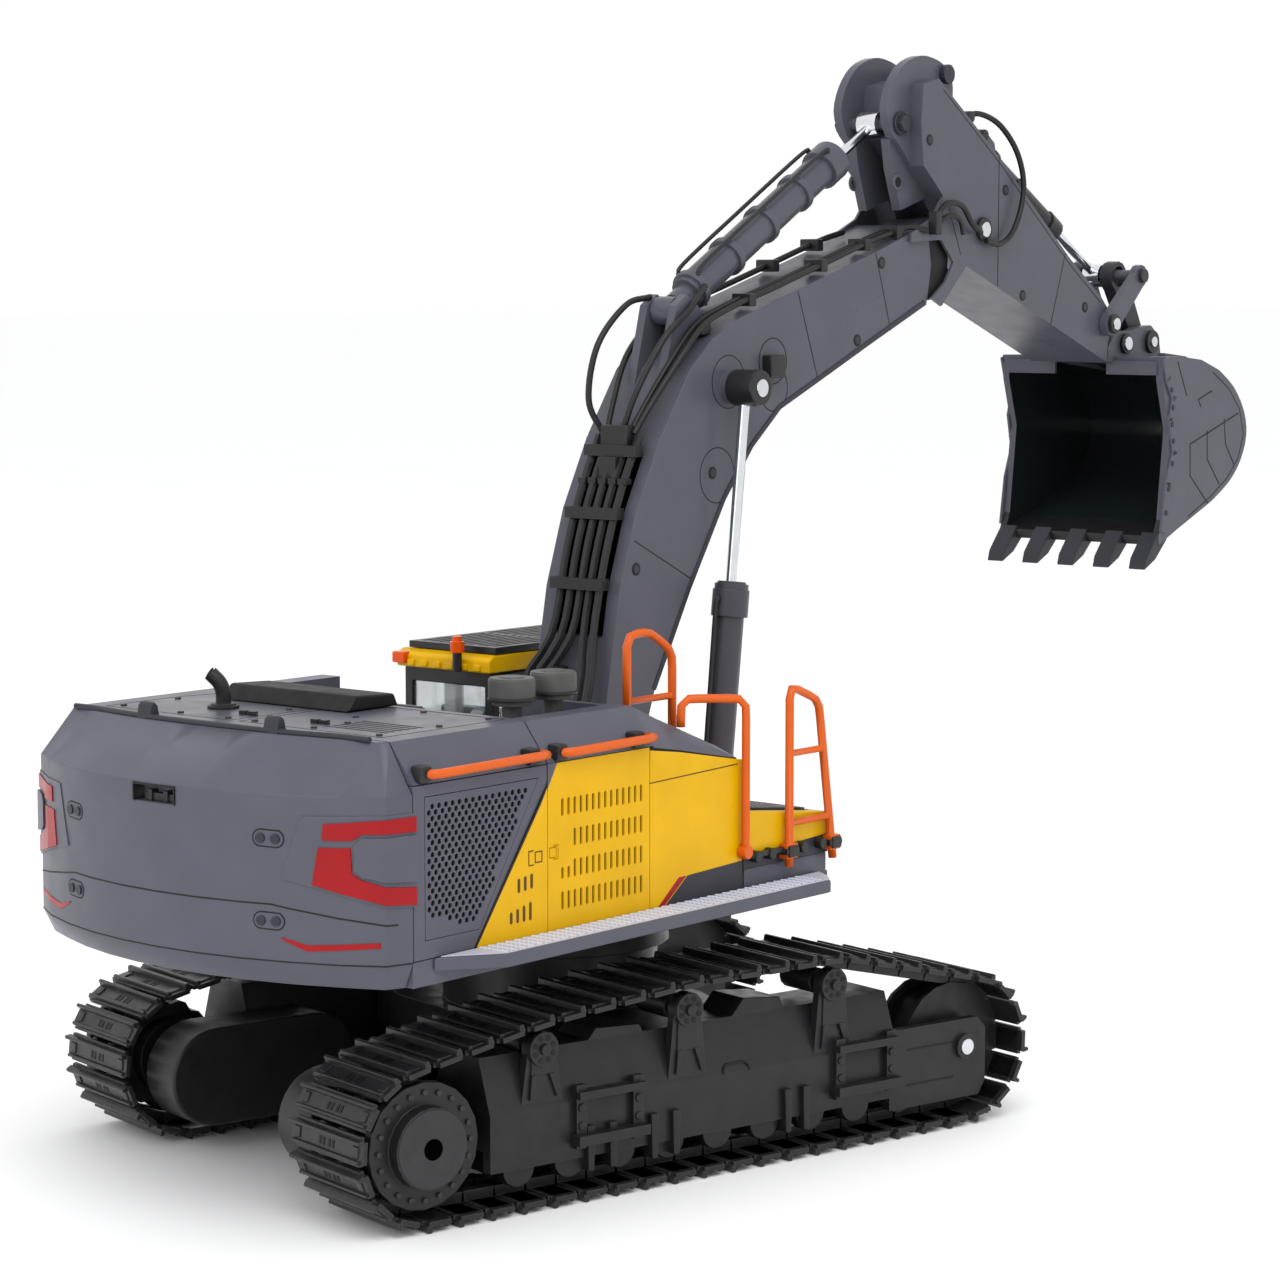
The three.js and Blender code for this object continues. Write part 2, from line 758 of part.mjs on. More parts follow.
place(upperWorks, "revolving_frame", revolvingFrame(), GREY);
place(upperWorks, "counterweight", counterweight(), GREY);
place(upperWorks, "engine_hood", engineHood(), GREY);
place(upperWorks, "side_hood_right", sideHood(-1, RIGHT_FALL), GREY);
place(upperWorks, "side_hood_left", sideHood(1, LEFT_FALL), GREY);
place(upperWorks, "grille_door_right", grilleDoor(), GREY);
place(upperWorks, "vent_door_right", door(-1, -93.8, -43.2, CREASE_HEIGHT - GAP), YELLOW);
place(upperWorks, "side_door_left", door(1, BODY_REAR, -43.2, CREASE_HEIGHT - GAP), GREY);
place(upperWorks, "front_cover_right", frontCover(-1, RIGHT_FALL), YELLOW);
place(upperWorks, "front_cover_left", frontCover(1, LEFT_FALL), YELLOW);
place(upperWorks, "side_step_right", sideStep(-1), STEEL);
place(upperWorks, "side_step_left", sideStep(1), STEEL);
place(upperWorks, "front_platform", frontPlatform(), YELLOW);

// ---- upper works: what stands on the deck ----
const DECK_REST = DECK_HEIGHT + GAP;

function exhaustPipe() {
  const path = smooth([
    at(28, -130, DECK_REST),
    at(28, -130, DECK_REST + 4.5),
    at(28.8, -130.8, DECK_REST + 8),
    at(31, -132.4, DECK_REST + 11),
  ]);
  return join(sweep(path, 2.4, 12, 10), drum(28, -130, 4.2, DECK_REST, DECK_REST + 1.4, 14));
}

function airFilter(forward, radius, height, top) {
  const base = top - height;
  return join(
    drum(-50, forward, 3.3, WELL_FLOOR + GAP, base + 1, 12),
    drum(-50, forward, radius - 1, base, top - 1.5, 20),
    drum(-50, forward, radius, base + 2, top, 20),
  );
}

const engineHump = () =>
  sidePlate(
    [
      [-114.5, DECK_REST],
      [-90.5, DECK_REST],
      [-92.5, DECK_REST + 4.2],
      [-110.5, DECK_REST + 5],
    ],
    -13,
    45,
  );

const RAIL_RADIUS = 1.5;
const rail = (points, bend = 4) => bentBar(points, RAIL_RADIUS, bend, 8);

function grabBar(rear, front) {
  const foot = WALL_OUT - 0.6;
  const out = WALL_OUT + 3.4;
  return rail(
    [at(-foot, rear, 148), at(-out, rear, 148), at(-out, front, 148.4), at(-foot, front, 148.4)],
    2,
  );
}

function hoodRail() {
  const x = -58;
  const loop = rail([at(x, -28, 153), at(x, -28, 178.5), at(x, -16.5, 179.2), at(x, -4, 171.5), at(x, -4, 144)]);
  return join(loop, bar(x, [-28, 156.5], [-4, 156.5], 1.2, 6));
}

function bodyRail() {
  const outer = WALL_OUT + 2.2;
  return rail([
    at(-69, -13, 147.5),
    at(-69, -13, 157),
    at(-outer, 5.5, 156.4),
    at(-outer, 5.5, 106),
    at(-WALL_OUT - 1.9, 5.5, 103.4),
  ]);
}

function ladderRail() {
  const x = -WALL_OUT - 2.2;
  const loop = rail([at(x, 30, 96), at(x, 30, 158.5), at(x, 46.6, 152), at(x, 55.3, 96)]);
  return join(
    loop,
    bar(x, [30, 135], [49.2, 135], 1.2, 8),
    bar(x, [30, 111], [53, 111], 1.2, 8),
    box(x - 1.5, -WALL_OUT - GAP, 27, 33, 99, 104),
    box(x - 1.5, -WALL_OUT - GAP, 52.2, 57.8, 99, 104),
  );
}

place(upperWorks, "exhaust_pipe", exhaustPipe(), BLACK);
place(upperWorks, "air_filter_rear", airFilter(-76.7, 7.4, 9, 168.5), BLACK);
place(upperWorks, "air_filter_front", airFilter(-56.2, 7.4, 9, 168.8), BLACK);
place(upperWorks, "engine_hump", engineHump(), BLACK);
place(upperWorks, "grab_bar_rear", grabBar(-150, -97), ORANGE);
place(upperWorks, "grab_bar_front", grabBar(-88, -44), ORANGE);
place(upperWorks, "hood_rail", hoodRail(), ORANGE);
place(upperWorks, "body_rail", bodyRail(), ORANGE);
place(upperWorks, "ladder_rail", ladderRail(), ORANGE);

// ---- upper works: cab and what is inside the body ----
const CAB = { inner: 33, outer: 76, rear: 7, floor: SILL_TOP + GAP, top: 156 };
const PILLAR = 4;

function cabShell() {
  const side = [
    [CAB.rear, CAB.floor],
    [80, CAB.floor],
    [88, 108],
    [84, 135],
    [74, CAB.top],
    [CAB.rear, CAB.top],
  ];
  const room = [
    [CAB.rear + 2.5, CAB.floor + 2.5],
    [79, CAB.floor + 2.5],
    [85.3, 108.5],
    [81.6, 134.5],
    [72.5, CAB.top - 2.5],
    [CAB.rear + 2.5, CAB.top - 2.5],
  ];
  const sideWindow = [
    [CAB.rear + PILLAR, 128],
    [76, 118],
    [80, 120],
    [78, 136],
    [70, 151],
    [CAB.rear + PILLAR, 151],
  ];
  const { inner, outer } = CAB;
  return cut(
    sidePlate(side, inner, outer),
    sidePlate(room, inner + 2.5, outer - 2.5),
    sidePlate(sideWindow, inner - 2, outer + 2),
    box(inner + PILLAR, outer - PILLAR, CAB.rear - 3, CAB.rear + 5, 130, 151),
    box(inner + PILLAR, outer - PILLAR, 70, 95, 112, 150),
  );
}

function cabRoof() {
  const top = CAB.top + GAP;
  const outline = [
    [4, top],
    [79, top],
    [77, top + 4.5],
    [72, top + 6.5],
    [7, top + 6.5],
    [4, top + 4.5],
  ];
  return sidePlate(outline, CAB.inner - 1, CAB.outer + 1.3);
}

const GUARD_BOTTOM = CAB.top + GAP + 6.5 + GAP;
const roofGuard = () => box(CAB.inner - 1, 74, 7.4, 84, GUARD_BOTTOM, GUARD_BOTTOM + 2.4);

const beacon = () =>
  join(
    drum(45, 1.5, 1, 157, 164.5, 8),
    drum(45, 1.5, 2.6, 163.5, 167.5, 12),
    drum(45, 1.5, 1.8, 167, 169.4, 12),
    box(44, 46, 0.5, 3.7, 157, 159),
  );

function operatorSeat() {
  const outline = [
    [16, 94.4],
    [46, 94.4],
    [46, 112],
    [28, 111],
    [21, 142],
    [15, 142],
    [17, 108],
  ];
  return sidePlate(outline, 40, 66);
}

place(upperWorks, "cab_shell", cabShell(), BLACK);
place(upperWorks, "cab_roof", cabRoof(), YELLOW);
place(upperWorks, "cab_roof_guard", roofGuard(), BLACK);
place(upperWorks, "cab_beacon", beacon(), ORANGE);
place(upperWorks, "operator_seat", operatorSeat(), RUBBER);
place(upperWorks, "battery_pack", box(-45, 45, -140, -95, SILL_TOP + GAP, 118), BLACK);

// ---- boom ----
const BOOM_TIP = 205; // where its full width stops
const BOOM_BACK = [
  [4.5, 116],
  [11.4, 153.8],
  [18, 188.4],
  [27, 215],
  [40.2, 239.9],
  [57.2, 264.2],
  [70, 275],
  [86.2, 282.4],
  [130, 295],
  [173.6, 307.5],
];
const BOOM_BELLY = [
  [BOOM_TIP, 286.5],
  [167.5, 271.6],
  [135.4, 258.5],
  [110.6, 248.5],
  [94, 235],
  [77.7, 216.9],
  [57.3, 185.6],
  [37.4, 151.4],
  [21.5, 108],
];

function boom() {
  const outline = [...BOOM_BACK, [BOOM_TIP, 317.5], [208, 302], ...BOOM_BELLY, [13, 103.5], [6, 106]];
  const tongue = [
    [196, 292],
    [BOOM_TIP, 290],
    [234, 309.5],
    [232, 321],
    [218, 320],
    [196, 314],
  ];
  const cylinderEar = [
    [52, 256],
    [60, 287],
    [66, 291],
    [72, 287.5],
    [82, 278],
    [70, 262],
  ];
  const pieces = [
    sidePlate(outline, -BOOM_HALF_WIDTH, BOOM_HALF_WIDTH),
    sidePlate(tongue, -TONGUE_HALF_WIDTH, TONGUE_HALF_WIDTH),
    disc(ARM_PIVOT, 9, -TONGUE_HALF_WIDTH, TONGUE_HALF_WIDTH),
    disc(BOOM_CYLINDER_PIN, 3, -29, 29),
    disc(BOOM_CYLINDER_PIN, 6, -20.6, 20.6),
    disc(ARM_CYLINDER_FOOT, 2.6, -7, 7),
  ];
  for (const side of [-1, 1]) {
    const span = (from, to) => (side > 0 ? [from, to] : [-to, -from]);
    pieces.push(disc(BOOM_CYLINDER_PIN, 5.6, ...span(28.4, 31), 20));
    pieces.push(sidePlate(cylinderEar, ...span(5, 8.4)));
    pieces.push(box(...span(BOOM_HALF_WIDTH - 1, 19), 100, 108.5, 261, 268.5));
  }
  return cut(
    join(...pieces),
    disc(BOOM_FOOT, 4 + RUNNING_CLEARANCE, -20, 20),
    disc(ARM_PIVOT, 4 + RUNNING_CLEARANCE, -20, 20),
  );
}

// Five steel pipes on the boom's back, held by two clamp plates under a manifold block.
// At the foot three of them lean to the left and two to the right.
function boomPipes() {
  const lift = 3.4;
  const clamps = [
    [18.6, 188],
    [26.8, 212.4],
    [37.4, 234],
  ].map(([forward, up]) => box(-12.8, 10.4, forward - lift - 3, forward - lift + 1.8, up, up + 4));
  const pipes = [-10.4, -6, -1.4, 3.2, 7.8].map((x) => {
    const lean = x < -5 ? -2.6 : 8;
    const run = [
      [x + lean, 5, 140],
      [x + lean, 10.2, 158],
      [x + lean / 4, 13.4, 168],
      [x, 15.4, 176],
      [x, 22.5, 203],
      [x, 30, 222],
      [x, 40, 241],
    ];
    return sweep(smooth(run.map(([side, forward, up]) => at(side, forward - lift, up))), 1.5, 6, 16);
  });
  return join(...pipes, ...clamps);
}

// ---- arm ----
function sector([forward, up], from, to, radius) {
  const points = [[forward, up]];
  const steps = 6;
  for (let i = 0; i <= steps; i++) {
    const angle = THREE.MathUtils.degToRad(from + ((to - from) * i) / steps);
    points.push([forward + Math.cos(angle) * radius, up + Math.sin(angle) * radius]);
  }
  return points;
}

const ARM_BODY = [
  [198, 357],
  [199.5, 371],
  [210, 373.5],
  [254.3, 343.7],
  [278.9, 325.2],
  [305.8, 305.2],
  [331, 289],
  [337.5, 283],
  [338.3, 277],
  [336, 268],
  [335.7, 262],
  [230, 301.5],
  [222, 306],
  [219.5, 322],
  [212, 330],
  [200, 340],
];
const ARM_CHEEK = [
  [214, 329],
  [206, 320],
  [192, 314],
  [192, 310.6],
  [212.5, 311.7],
  [221, 303],
  [215.6, 295.4],
  [206, 289],
  [213, 286],
  [230, 301.5],
  [250, 294],
  [246, 332],
];
const CYLINDER_EAR = [
  ...curved([
    [187, 352],
    [183.6, 361],
    [187, 370.6],
    [194.5, 378.4],
    [205, 382.3],
    [214, 382],
    [222, 379.5],
    [227.6, 374],
    [228, 366],
  ]),
  [222, 350],
  [205, 338.5],
  [199, 341],
  [193, 347],
];
const HINGE_BLOCK = [
  [189, 350],
  [191, 339],
  [197, 323],
  [214, 328],
  [222, 350],
  [203, 358],
];

function arm() {
  const half = ARM_HALF_WIDTH + 0.6;
  const cheekInner = BOOM_HALF_WIDTH + 0.5;
  const body = cut(
    sidePlate(ARM_BODY, -half, half),
    sidePlate(sector(ARM_PIVOT, 141, 268, 60), -TONGUE_HALF_WIDTH - GAP, TONGUE_HALF_WIDTH + GAP),
    disc(ARM_PIVOT, 9.8, -TONGUE_HALF_WIDTH - GAP, TONGUE_HALF_WIDTH + GAP),
  );
  const cylinderEar = [
    [250, 340],
    [257, 351],
    [262, 354.5],
    [267, 351],
    [274, 326],
  ];
  const pieces = [
    body,
    disc(ARM_PIVOT, 4, -half - 0.8, half + 0.8),
    disc(ARM_CYLINDER_PIN, 2.6, -14, 14, 12),
    disc(BUCKET_CYLINDER_FOOT, 2.2, -7.6, 7.6, 12),
    disc(ROCKER_PIVOT, 2.6, -24, 24, 12),
    disc(ROCKER_PIVOT, 5, -half - GAP, half + GAP),
    disc([222, 376], 2.6, -14, 14, 6),
  ];
  for (const side of [-1, 1]) {
    const span = (from, to) => (side > 0 ? [from, to] : [-to, -from]);
    pieces.push(sidePlate(ARM_CHEEK, ...span(cheekInner, half)));
    pieces.push(sidePlate(CYLINDER_EAR, ...span(9, 12.7)));
    pieces.push(sidePlate(HINGE_BLOCK, ...span(6, 10)));
    pieces.push(sidePlate(cylinderEar, ...span(4.6, 6.8)));
  }
  const nose = [
    [330, 283.2],
    [334, 272.5],
    [352.2, 264.9],
    [355.8, 274.2],
  ];
  pieces.push(sidePlate(nose, -NOSE_HALF_WIDTH, NOSE_HALF_WIDTH));
  pieces.push(disc(BUCKET_PIVOT, 4.8, -NOSE_HALF_WIDTH, NOSE_HALF_WIDTH));
  return cut(join(...pieces), disc(BUCKET_PIVOT, 2.4 + RUNNING_CLEARANCE, -20, 20));
}

function rocker() {
  const plate = [
    [331.2, 282.5],
    [335.6, 273.8],
    [359.6, 295.6],
    [355.2, 301.9],
  ];
  const pieces = [disc(ROCKER_TOP, 2.5, -22, 22)];
  for (const side of [-1, 1]) {
    const span = side > 0 ? [19.4, 22.8] : [-22.8, -19.4];
    pieces.push(sidePlate(plate, ...span));
    pieces.push(disc(ROCKER_PIVOT, 5, ...span));
    pieces.push(disc(ROCKER_TOP, 4.6, ...span));
  }
  return cut(join(...pieces), disc(ROCKER_PIVOT, 2.6 + RUNNING_CLEARANCE, -25, 25));
}

const LINK_EYE = 4.4; // its upper eye is opened up, because its end runs on an arc

function bucketLink() {
  const pieces = [disc(LINK_PIN, 4.6, -10.8, 10.8)];
  for (const side of [-1, 1]) {
    const span = side > 0 ? [5, 10.8] : [-10.8, -5];
    pieces.push(disc(LINK_TOP, LINK_EYE + 2, ...span));
    pieces.push(
      sidePlate(
        [
          [353.5, 293.5],
          [370.8, 268.5],
          [379, 272],
          [363, 300],
        ],
        ...span,
      ),
    );
  }
  return cut(
    join(...pieces),
    disc(LINK_TOP, LINK_EYE, -12, 12),
    disc(LINK_PIN, 2.4 + RUNNING_CLEARANCE, -12, 12),
  );
}

const BUCKET_BACK = [
  [361, 264.2],
  [378, 262.6],
  ...curved([
    [393, 258],
    [406, 250.4],
    [415, 240],
    [417.6, 229.6],
    [412.8, 218.6],
    [403, 209.6],
    [388.4, 202],
  ]),
  [359.5, 191.3],
];
const BUCKET_MOUTH = [
  [345, 185.6],
  [344.6, 189],
  [347.8, 196.1],
  [352.4, 233.7],
  [346, 254.3],
  [345.7, 264.3],
];

function bucket() {
  const hollow = [
    [330, 261.2],
    [361, 261.2],
    [377.2, 259.6],
    ...curved([
      [391.6, 255.4],
      [403.8, 248.2],
      [412, 238.8],
      [414.4, 229.8],
      [410, 220.6],
      [401, 212.4],
      [387, 205],
    ]),
    [358.5, 194.3],
    [340, 187.6],
    [330, 187.6],
  ];
  const inner = BUCKET_HALF_WIDTH - BUCKET_WALL;
  const shell = cut(
    sidePlate([...BUCKET_BACK, ...BUCKET_MOUTH], -BUCKET_HALF_WIDTH, BUCKET_HALF_WIDTH),
    sidePlate(hollow, -inner, inner),
    box(-11.6, 11.6, 340, 356, 255, 266),
  );
  const tooth = [
    [352, 190.6],
    [345.6, 190.2],
    [335.4, 178.6],
    [335.6, 176.6],
    [343, 180.5],
    [352, 187],
  ];
  const ear = [
    [342, 262],
    [340.6, 268],
    [347, 274.6],
    [360, 275],
    [368, 276.5],
    [375.5, 277],
    [382, 272.5],
    [384, 264],
    [384, 257],
  ];
  const pieces = [shell, disc(BUCKET_PIVOT, 2.4, -17, 17, 12), disc(LINK_PIN, 2.4, -17, 17, 12)];
  for (let i = -2; i <= 2; i++) pieces.push(sidePlate(tooth, i * 17.6 - 3.5, i * 17.6 + 3.5));
  for (const side of [-1, 1]) {
    const span = side > 0 ? [11.5, 16] : [-16, -11.5];
    pieces.push(sidePlate(ear, ...span));
  }
  return join(...pieces);
}

// ---- cylinders ----
const BOOM_CYLINDER = {
  length: 96,
  radius: 5.4,
  bore: 4.3,
  rodRadius: 2,
  rodLength: 92,
  eyeRadius: 5.5,
  eyeHalf: 3,
  pinRadius: 3,
  neck: 11,
};
const ARM_CYLINDER = {
  length: 114,
  radius: 6.3,
  bore: 5.2,
  rodRadius: 1.9,
  rodLength: 90,
  eyeRadius: 5.2,
  eyeHalf: 4.4,
  pinRadius: 2.6,
  neck: 12,
};
const BUCKET_CYLINDER = {
  length: 68,
  radius: 4.6,
  bore: 3.6,
  rodRadius: 1.8,
  rodLength: 64,
  eyeRadius: 4.4,
  eyeHalf: 3.9,
  pinRadius: 2.2,
  neck: 9,
};
const ROCKER_TUBE = { ...BUCKET_CYLINDER, pinRadius: 2.5, eyeRadius: 4.8 };

place(upperWorks, "boom", boom(), GREY);
place(upperWorks, "boom_pipes", boomPipes(), BLACK);
for (const [side, suffix] of [
  [-1, "right"],
  [1, "left"],
]) {
  const x = side * BOOM_CYLINDER_SIDE;
  const tilt = BOOM_CYLINDER_TILT;
  place(upperWorks, `boom_cylinder_${suffix}`, barrel(x, BOOM_CYLINDER_FOOT, tilt, BOOM_CYLINDER), BLACK);
  place(upperWorks, `boom_rod_${suffix}`, pistonRod(x, BOOM_CYLINDER_PIN, tilt, BOOM_CYLINDER), CHROME);
}
place(upperWorks, "arm_cylinder", barrel(0, ARM_CYLINDER_FOOT, ARM_CYLINDER_TILT, ARM_CYLINDER), GREY);
place(upperWorks, "arm_rod", pistonRod(0, ARM_CYLINDER_PIN, ARM_CYLINDER_TILT, ARM_CYLINDER), CHROME);
place(upperWorks, "arm", arm(), GREY);
place(
  upperWorks,
  "bucket_cylinder",
  barrel(0, BUCKET_CYLINDER_FOOT, BUCKET_CYLINDER_TILT, BUCKET_CYLINDER),
  BLACK,
);
place(upperWorks, "bucket_rod", pistonRod(0, ROCKER_TOP, BUCKET_CYLINDER_TILT, ROCKER_TUBE), CHROME);
place(upperWorks, "rocker", rocker(), GREY);
place(upperWorks, "bucket_link", bucketLink(), BLACK);
place(upperWorks, "bucket", bucket(), GREY);

const bounds = new THREE.Box3().setFromObject(excavator, true);
const middle = bounds.getCenter(new THREE.Vector3());
excavator.position.set(-middle.x, -middle.y, -bounds.min.z);

export default excavator;
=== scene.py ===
"""Looks for a radio-controlled tracked excavator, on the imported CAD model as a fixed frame.

Lengths below are in millimetres in machine coordinates: x to the machine's left, forward, up.
The crawler's frame and the swung upper works' frame turn them into metres in the row frame.
"""

import json
import math

import bmesh
import bpy
from mathutils import Matrix, Vector


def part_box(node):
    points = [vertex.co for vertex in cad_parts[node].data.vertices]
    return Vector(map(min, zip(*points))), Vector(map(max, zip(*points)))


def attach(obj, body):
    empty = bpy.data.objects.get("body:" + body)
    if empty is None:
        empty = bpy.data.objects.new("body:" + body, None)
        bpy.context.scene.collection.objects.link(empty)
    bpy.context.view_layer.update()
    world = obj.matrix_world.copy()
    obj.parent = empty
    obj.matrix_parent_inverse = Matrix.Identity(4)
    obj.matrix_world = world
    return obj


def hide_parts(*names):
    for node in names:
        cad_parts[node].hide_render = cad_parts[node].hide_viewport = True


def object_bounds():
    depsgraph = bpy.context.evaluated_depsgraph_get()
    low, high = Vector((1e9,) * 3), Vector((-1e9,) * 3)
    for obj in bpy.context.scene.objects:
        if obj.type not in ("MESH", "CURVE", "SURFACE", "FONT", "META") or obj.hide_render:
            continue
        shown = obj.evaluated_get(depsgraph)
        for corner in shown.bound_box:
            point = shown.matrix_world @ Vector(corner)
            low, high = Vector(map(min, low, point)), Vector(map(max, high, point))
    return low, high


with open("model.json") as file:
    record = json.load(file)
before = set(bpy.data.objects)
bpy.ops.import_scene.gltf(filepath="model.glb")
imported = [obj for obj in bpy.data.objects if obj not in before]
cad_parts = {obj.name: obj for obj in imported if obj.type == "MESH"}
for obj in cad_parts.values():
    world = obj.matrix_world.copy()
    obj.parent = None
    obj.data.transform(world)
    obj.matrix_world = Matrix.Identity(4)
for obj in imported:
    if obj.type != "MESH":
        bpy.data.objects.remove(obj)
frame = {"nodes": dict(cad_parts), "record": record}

CAD_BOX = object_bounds()
NODES = frame["nodes"]
BODIES = frame["record"]["behaviour"]["bodies"]
BODY_OF = {node: body for body, nodes in BODIES.items() for node in nodes}
CRAWLER_PARTS = ("undercarriage", "sprocket", "idler", "carrier")
SIDES = ((-1, "right"), (1, "left"))
MM = 0.001
SWING = math.radians(13.4)

ring_low, ring_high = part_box("slew_ring")
SLEW_CENTRE = Vector(((ring_low.x + ring_high.x) / 2, (ring_low.y + ring_high.y) / 2, 0))
CRAWLER = Matrix.Translation(SLEW_CENTRE)
UPPER = CRAWLER @ Matrix.Rotation(SWING, 4, "Z")


def placing(body):
    """The frame that the body's pieces are drawn in."""
    return CRAWLER if body.startswith(CRAWLER_PARTS) else UPPER


def at(x, forward, up):
    """A point in millimetres, with the machine facing -Y."""
    return Vector((x, -forward, up))


# ---------------------------------------------------------------- materials

class Surface:
    """A procedural material built round one Principled shader."""

    def __init__(self, name, color, roughness, metallic=0.0, specular=0.5):
        self.material = bpy.data.materials.new(name)
        self.material.use_nodes = True
        self.tree = self.material.node_tree
        self.shader = self.tree.nodes["Principled BSDF"]
        self.color = color
        self.set("Metallic", metallic)
        self.set("Base Color", (*color, 1))
        self.set("Roughness", roughness)
        self.set("Specular IOR Level", specular)

    def set(self, socket, value):
        self.shader.inputs[socket].default_value = value

    def node(self, kind, **settings):
        made = self.tree.nodes.new(kind)
        for key, value in settings.items():
            setattr(made, key, value)
        return made

    def link(self, source, target):
        self.tree.links.new(source, target)

    def noise(self, scale, detail=3.0, stretch=None):
        texture = self.node("ShaderNodeTexNoise")
        texture.inputs["Scale"].default_value = scale
        texture.inputs["Detail"].default_value = detail
        source = self.node("ShaderNodeTexCoord").outputs["Object"]
        if stretch:
            mapping = self.node("ShaderNodeMapping")
            mapping.inputs["Scale"].default_value = stretch
            self.link(source, mapping.inputs["Vector"])
            source = mapping.outputs["Vector"]
        self.link(source, texture.inputs["Vector"])
        return texture.outputs["Fac"]

    def remap(self, source, low, high, from_low=0.3, from_high=0.7):
        ranged = self.node("ShaderNodeMapRange")
        ends = {"From Min": from_low, "From Max": from_high, "To Min": low, "To Max": high}
        for socket, value in ends.items():
            ranged.inputs[socket].default_value = value
        self.link(source, ranged.inputs["Value"])
        return ranged.outputs["Result"]

    def mix_base(self, factor, second):
        """Links a mix, towards a second colour, to the base colour; its first colour is left open."""
        mix = self.node("ShaderNodeMix", data_type="RGBA")
        self.link(factor, mix.inputs["Factor"])
        mix.inputs["B"].default_value = (*second, 1)
        self.link(mix.outputs["Result"], self.shader.inputs["Base Color"])
        return mix

    def mottle(self, scale, darker, lighter):
        """The base colour drifts a little over the surface."""
        factor = self.remap(self.noise(scale), 0, 1)
        mix = self.mix_base(factor, [min(1, c * lighter) for c in self.color])
        mix.inputs["A"].default_value = (*[c * darker for c in self.color], 1)
        self.mottled = mix.outputs["Result"]

    def painted_edge_highlight(self, color, strength):
        """Edges that a bevel would round get a thin lighter line in patches: a painted highlight."""
        bevel = self.node("ShaderNodeBevel", samples=4)
        bevel.inputs["Radius"].default_value = 0.6 * MM
        normal = self.node("ShaderNodeNewGeometry").outputs["Normal"]
        dot = self.node("ShaderNodeVectorMath", operation="DOT_PRODUCT")
        self.link(bevel.outputs["Normal"], dot.inputs[0])
        self.link(normal, dot.inputs[1])
        highlight = self.node("ShaderNodeMath", operation="MULTIPLY")
        self.link(self.remap(dot.outputs["Value"], strength, 0, 0.85, 0.99), highlight.inputs[0])
        self.link(self.remap(self.noise(260, 4), 0.2, 1.0, 0.4, 0.62), highlight.inputs[1])
        self.link(self.mottled, self.mix_base(highlight.outputs["Value"], color).inputs["A"])

    def gloss_drift(self, low, high, scale=90):
        self.link(self.remap(self.noise(scale, 4), low, high), self.shader.inputs["Roughness"])

    def grain(self, scale, strength, stretch=None):
        """Fine relief of the moulded, cast or brushed surface."""
        bump = self.node("ShaderNodeBump")
        bump.inputs["Strength"].default_value = strength
        bump.inputs["Distance"].default_value = 0.1 * MM
        self.link(self.noise(scale, 4, stretch), bump.inputs["Height"])
        self.link(bump.outputs["Normal"], self.shader.inputs["Normal"])


def srgb(values):
    """Linear red, green and blue from values out of 255."""
    shares = [value / 255 for value in values]
    return tuple(s / 12.92 if s <= 0.04045 else ((s + 0.055) / 1.055) ** 2.4 for s in shares)


def painted(name, color, roughness, edge=None, specular=0.25):
    surface = Surface(name, srgb(color), roughness, specular=specular)
    surface.mottle(55, 0.94, 1.05)
    surface.gloss_drift(roughness - 0.05, roughness + 0.06)
    surface.grain(1600, 0.10)
    if edge:
        surface.painted_edge_highlight(srgb(edge), 0.35)
    return surface.material


def moulded(name, color, roughness, edge=None):
    surface = Surface(name, srgb(color), roughness, specular=0.35)
    surface.mottle(140, 0.82, 1.15)
    surface.gloss_drift(roughness - 0.08, roughness + 0.08, 180)
    surface.grain(2600, 0.28)
    if edge:
        surface.painted_edge_highlight(srgb(edge), 0.5)
    return surface.material


def metal(name, color, roughness, stretch=None):
    surface = Surface(name, srgb(color), roughness, metallic=1.0)
    surface.mottle(120, 0.92, 1.04)
    surface.gloss_drift(max(0.03, roughness - 0.05), roughness + 0.06, 260)
    surface.grain(900, 0.08, stretch)
    return surface.material


def glass(name, color):
    surface = Surface(name, srgb(color), 0.04)
    surface.set("Transmission Weight", 0.85)
    surface.set("IOR", 1.45)
    surface.set("Alpha", 0.4)
    surface.gloss_drift(0.02, 0.08)
    return surface.material


# Each paint's second colour is its painted edge highlight.
GREY = painted("grey_paint", (80, 80, 91), 0.34, (110, 110, 121))
BOOM_GREY = painted("boom_paint", (78, 78, 88), 0.32, (108, 108, 119))
DARK_GREY = painted("dark_grey_paint", (46, 46, 54), 0.4, (82, 82, 90))
CYLINDER_GREY = painted("cylinder_paint", (66, 65, 73), 0.36, (98, 98, 106))
YELLOW = painted("yellow_paint", (214, 165, 0), 0.32, (232, 188, 24), specular=0.15)
# A darker copy of the yellow paint: painted shade for the insides of slots and grooves in the yellow doors.
PAINTED_SHADE_YELLOW = painted("painted_shade_yellow", (84, 58, 4), 0.5)
ORANGE = painted("orange_paint", (206, 88, 18), 0.32, (226, 120, 54))
ORANGE_LAMP = painted("orange_lamp", (216, 78, 2), 0.2)
RED = painted("red_film", (146, 4, 12), 0.26)
BLACK = moulded("black_plastic", (29, 29, 31), 0.38, (66, 66, 68))
TRACK_BLACK = moulded("track_plastic", (34, 34, 35), 0.34, (84, 84, 86))
HUB_BLACK = moulded("hub_black", (44, 44, 46), 0.36, (86, 86, 88))
FILTER_BLACK = moulded("filter_plastic", (76, 76, 75), 0.5, (104, 104, 103))
# Very dark plastic for seams, grooves and black parts; also painted shade in holes, vents, wells, under the
# grating, behind the grille and on the boom's nose.
DEEP_BLACK = moulded("deep_black_and_painted_shade", (12, 12, 13), 0.6)
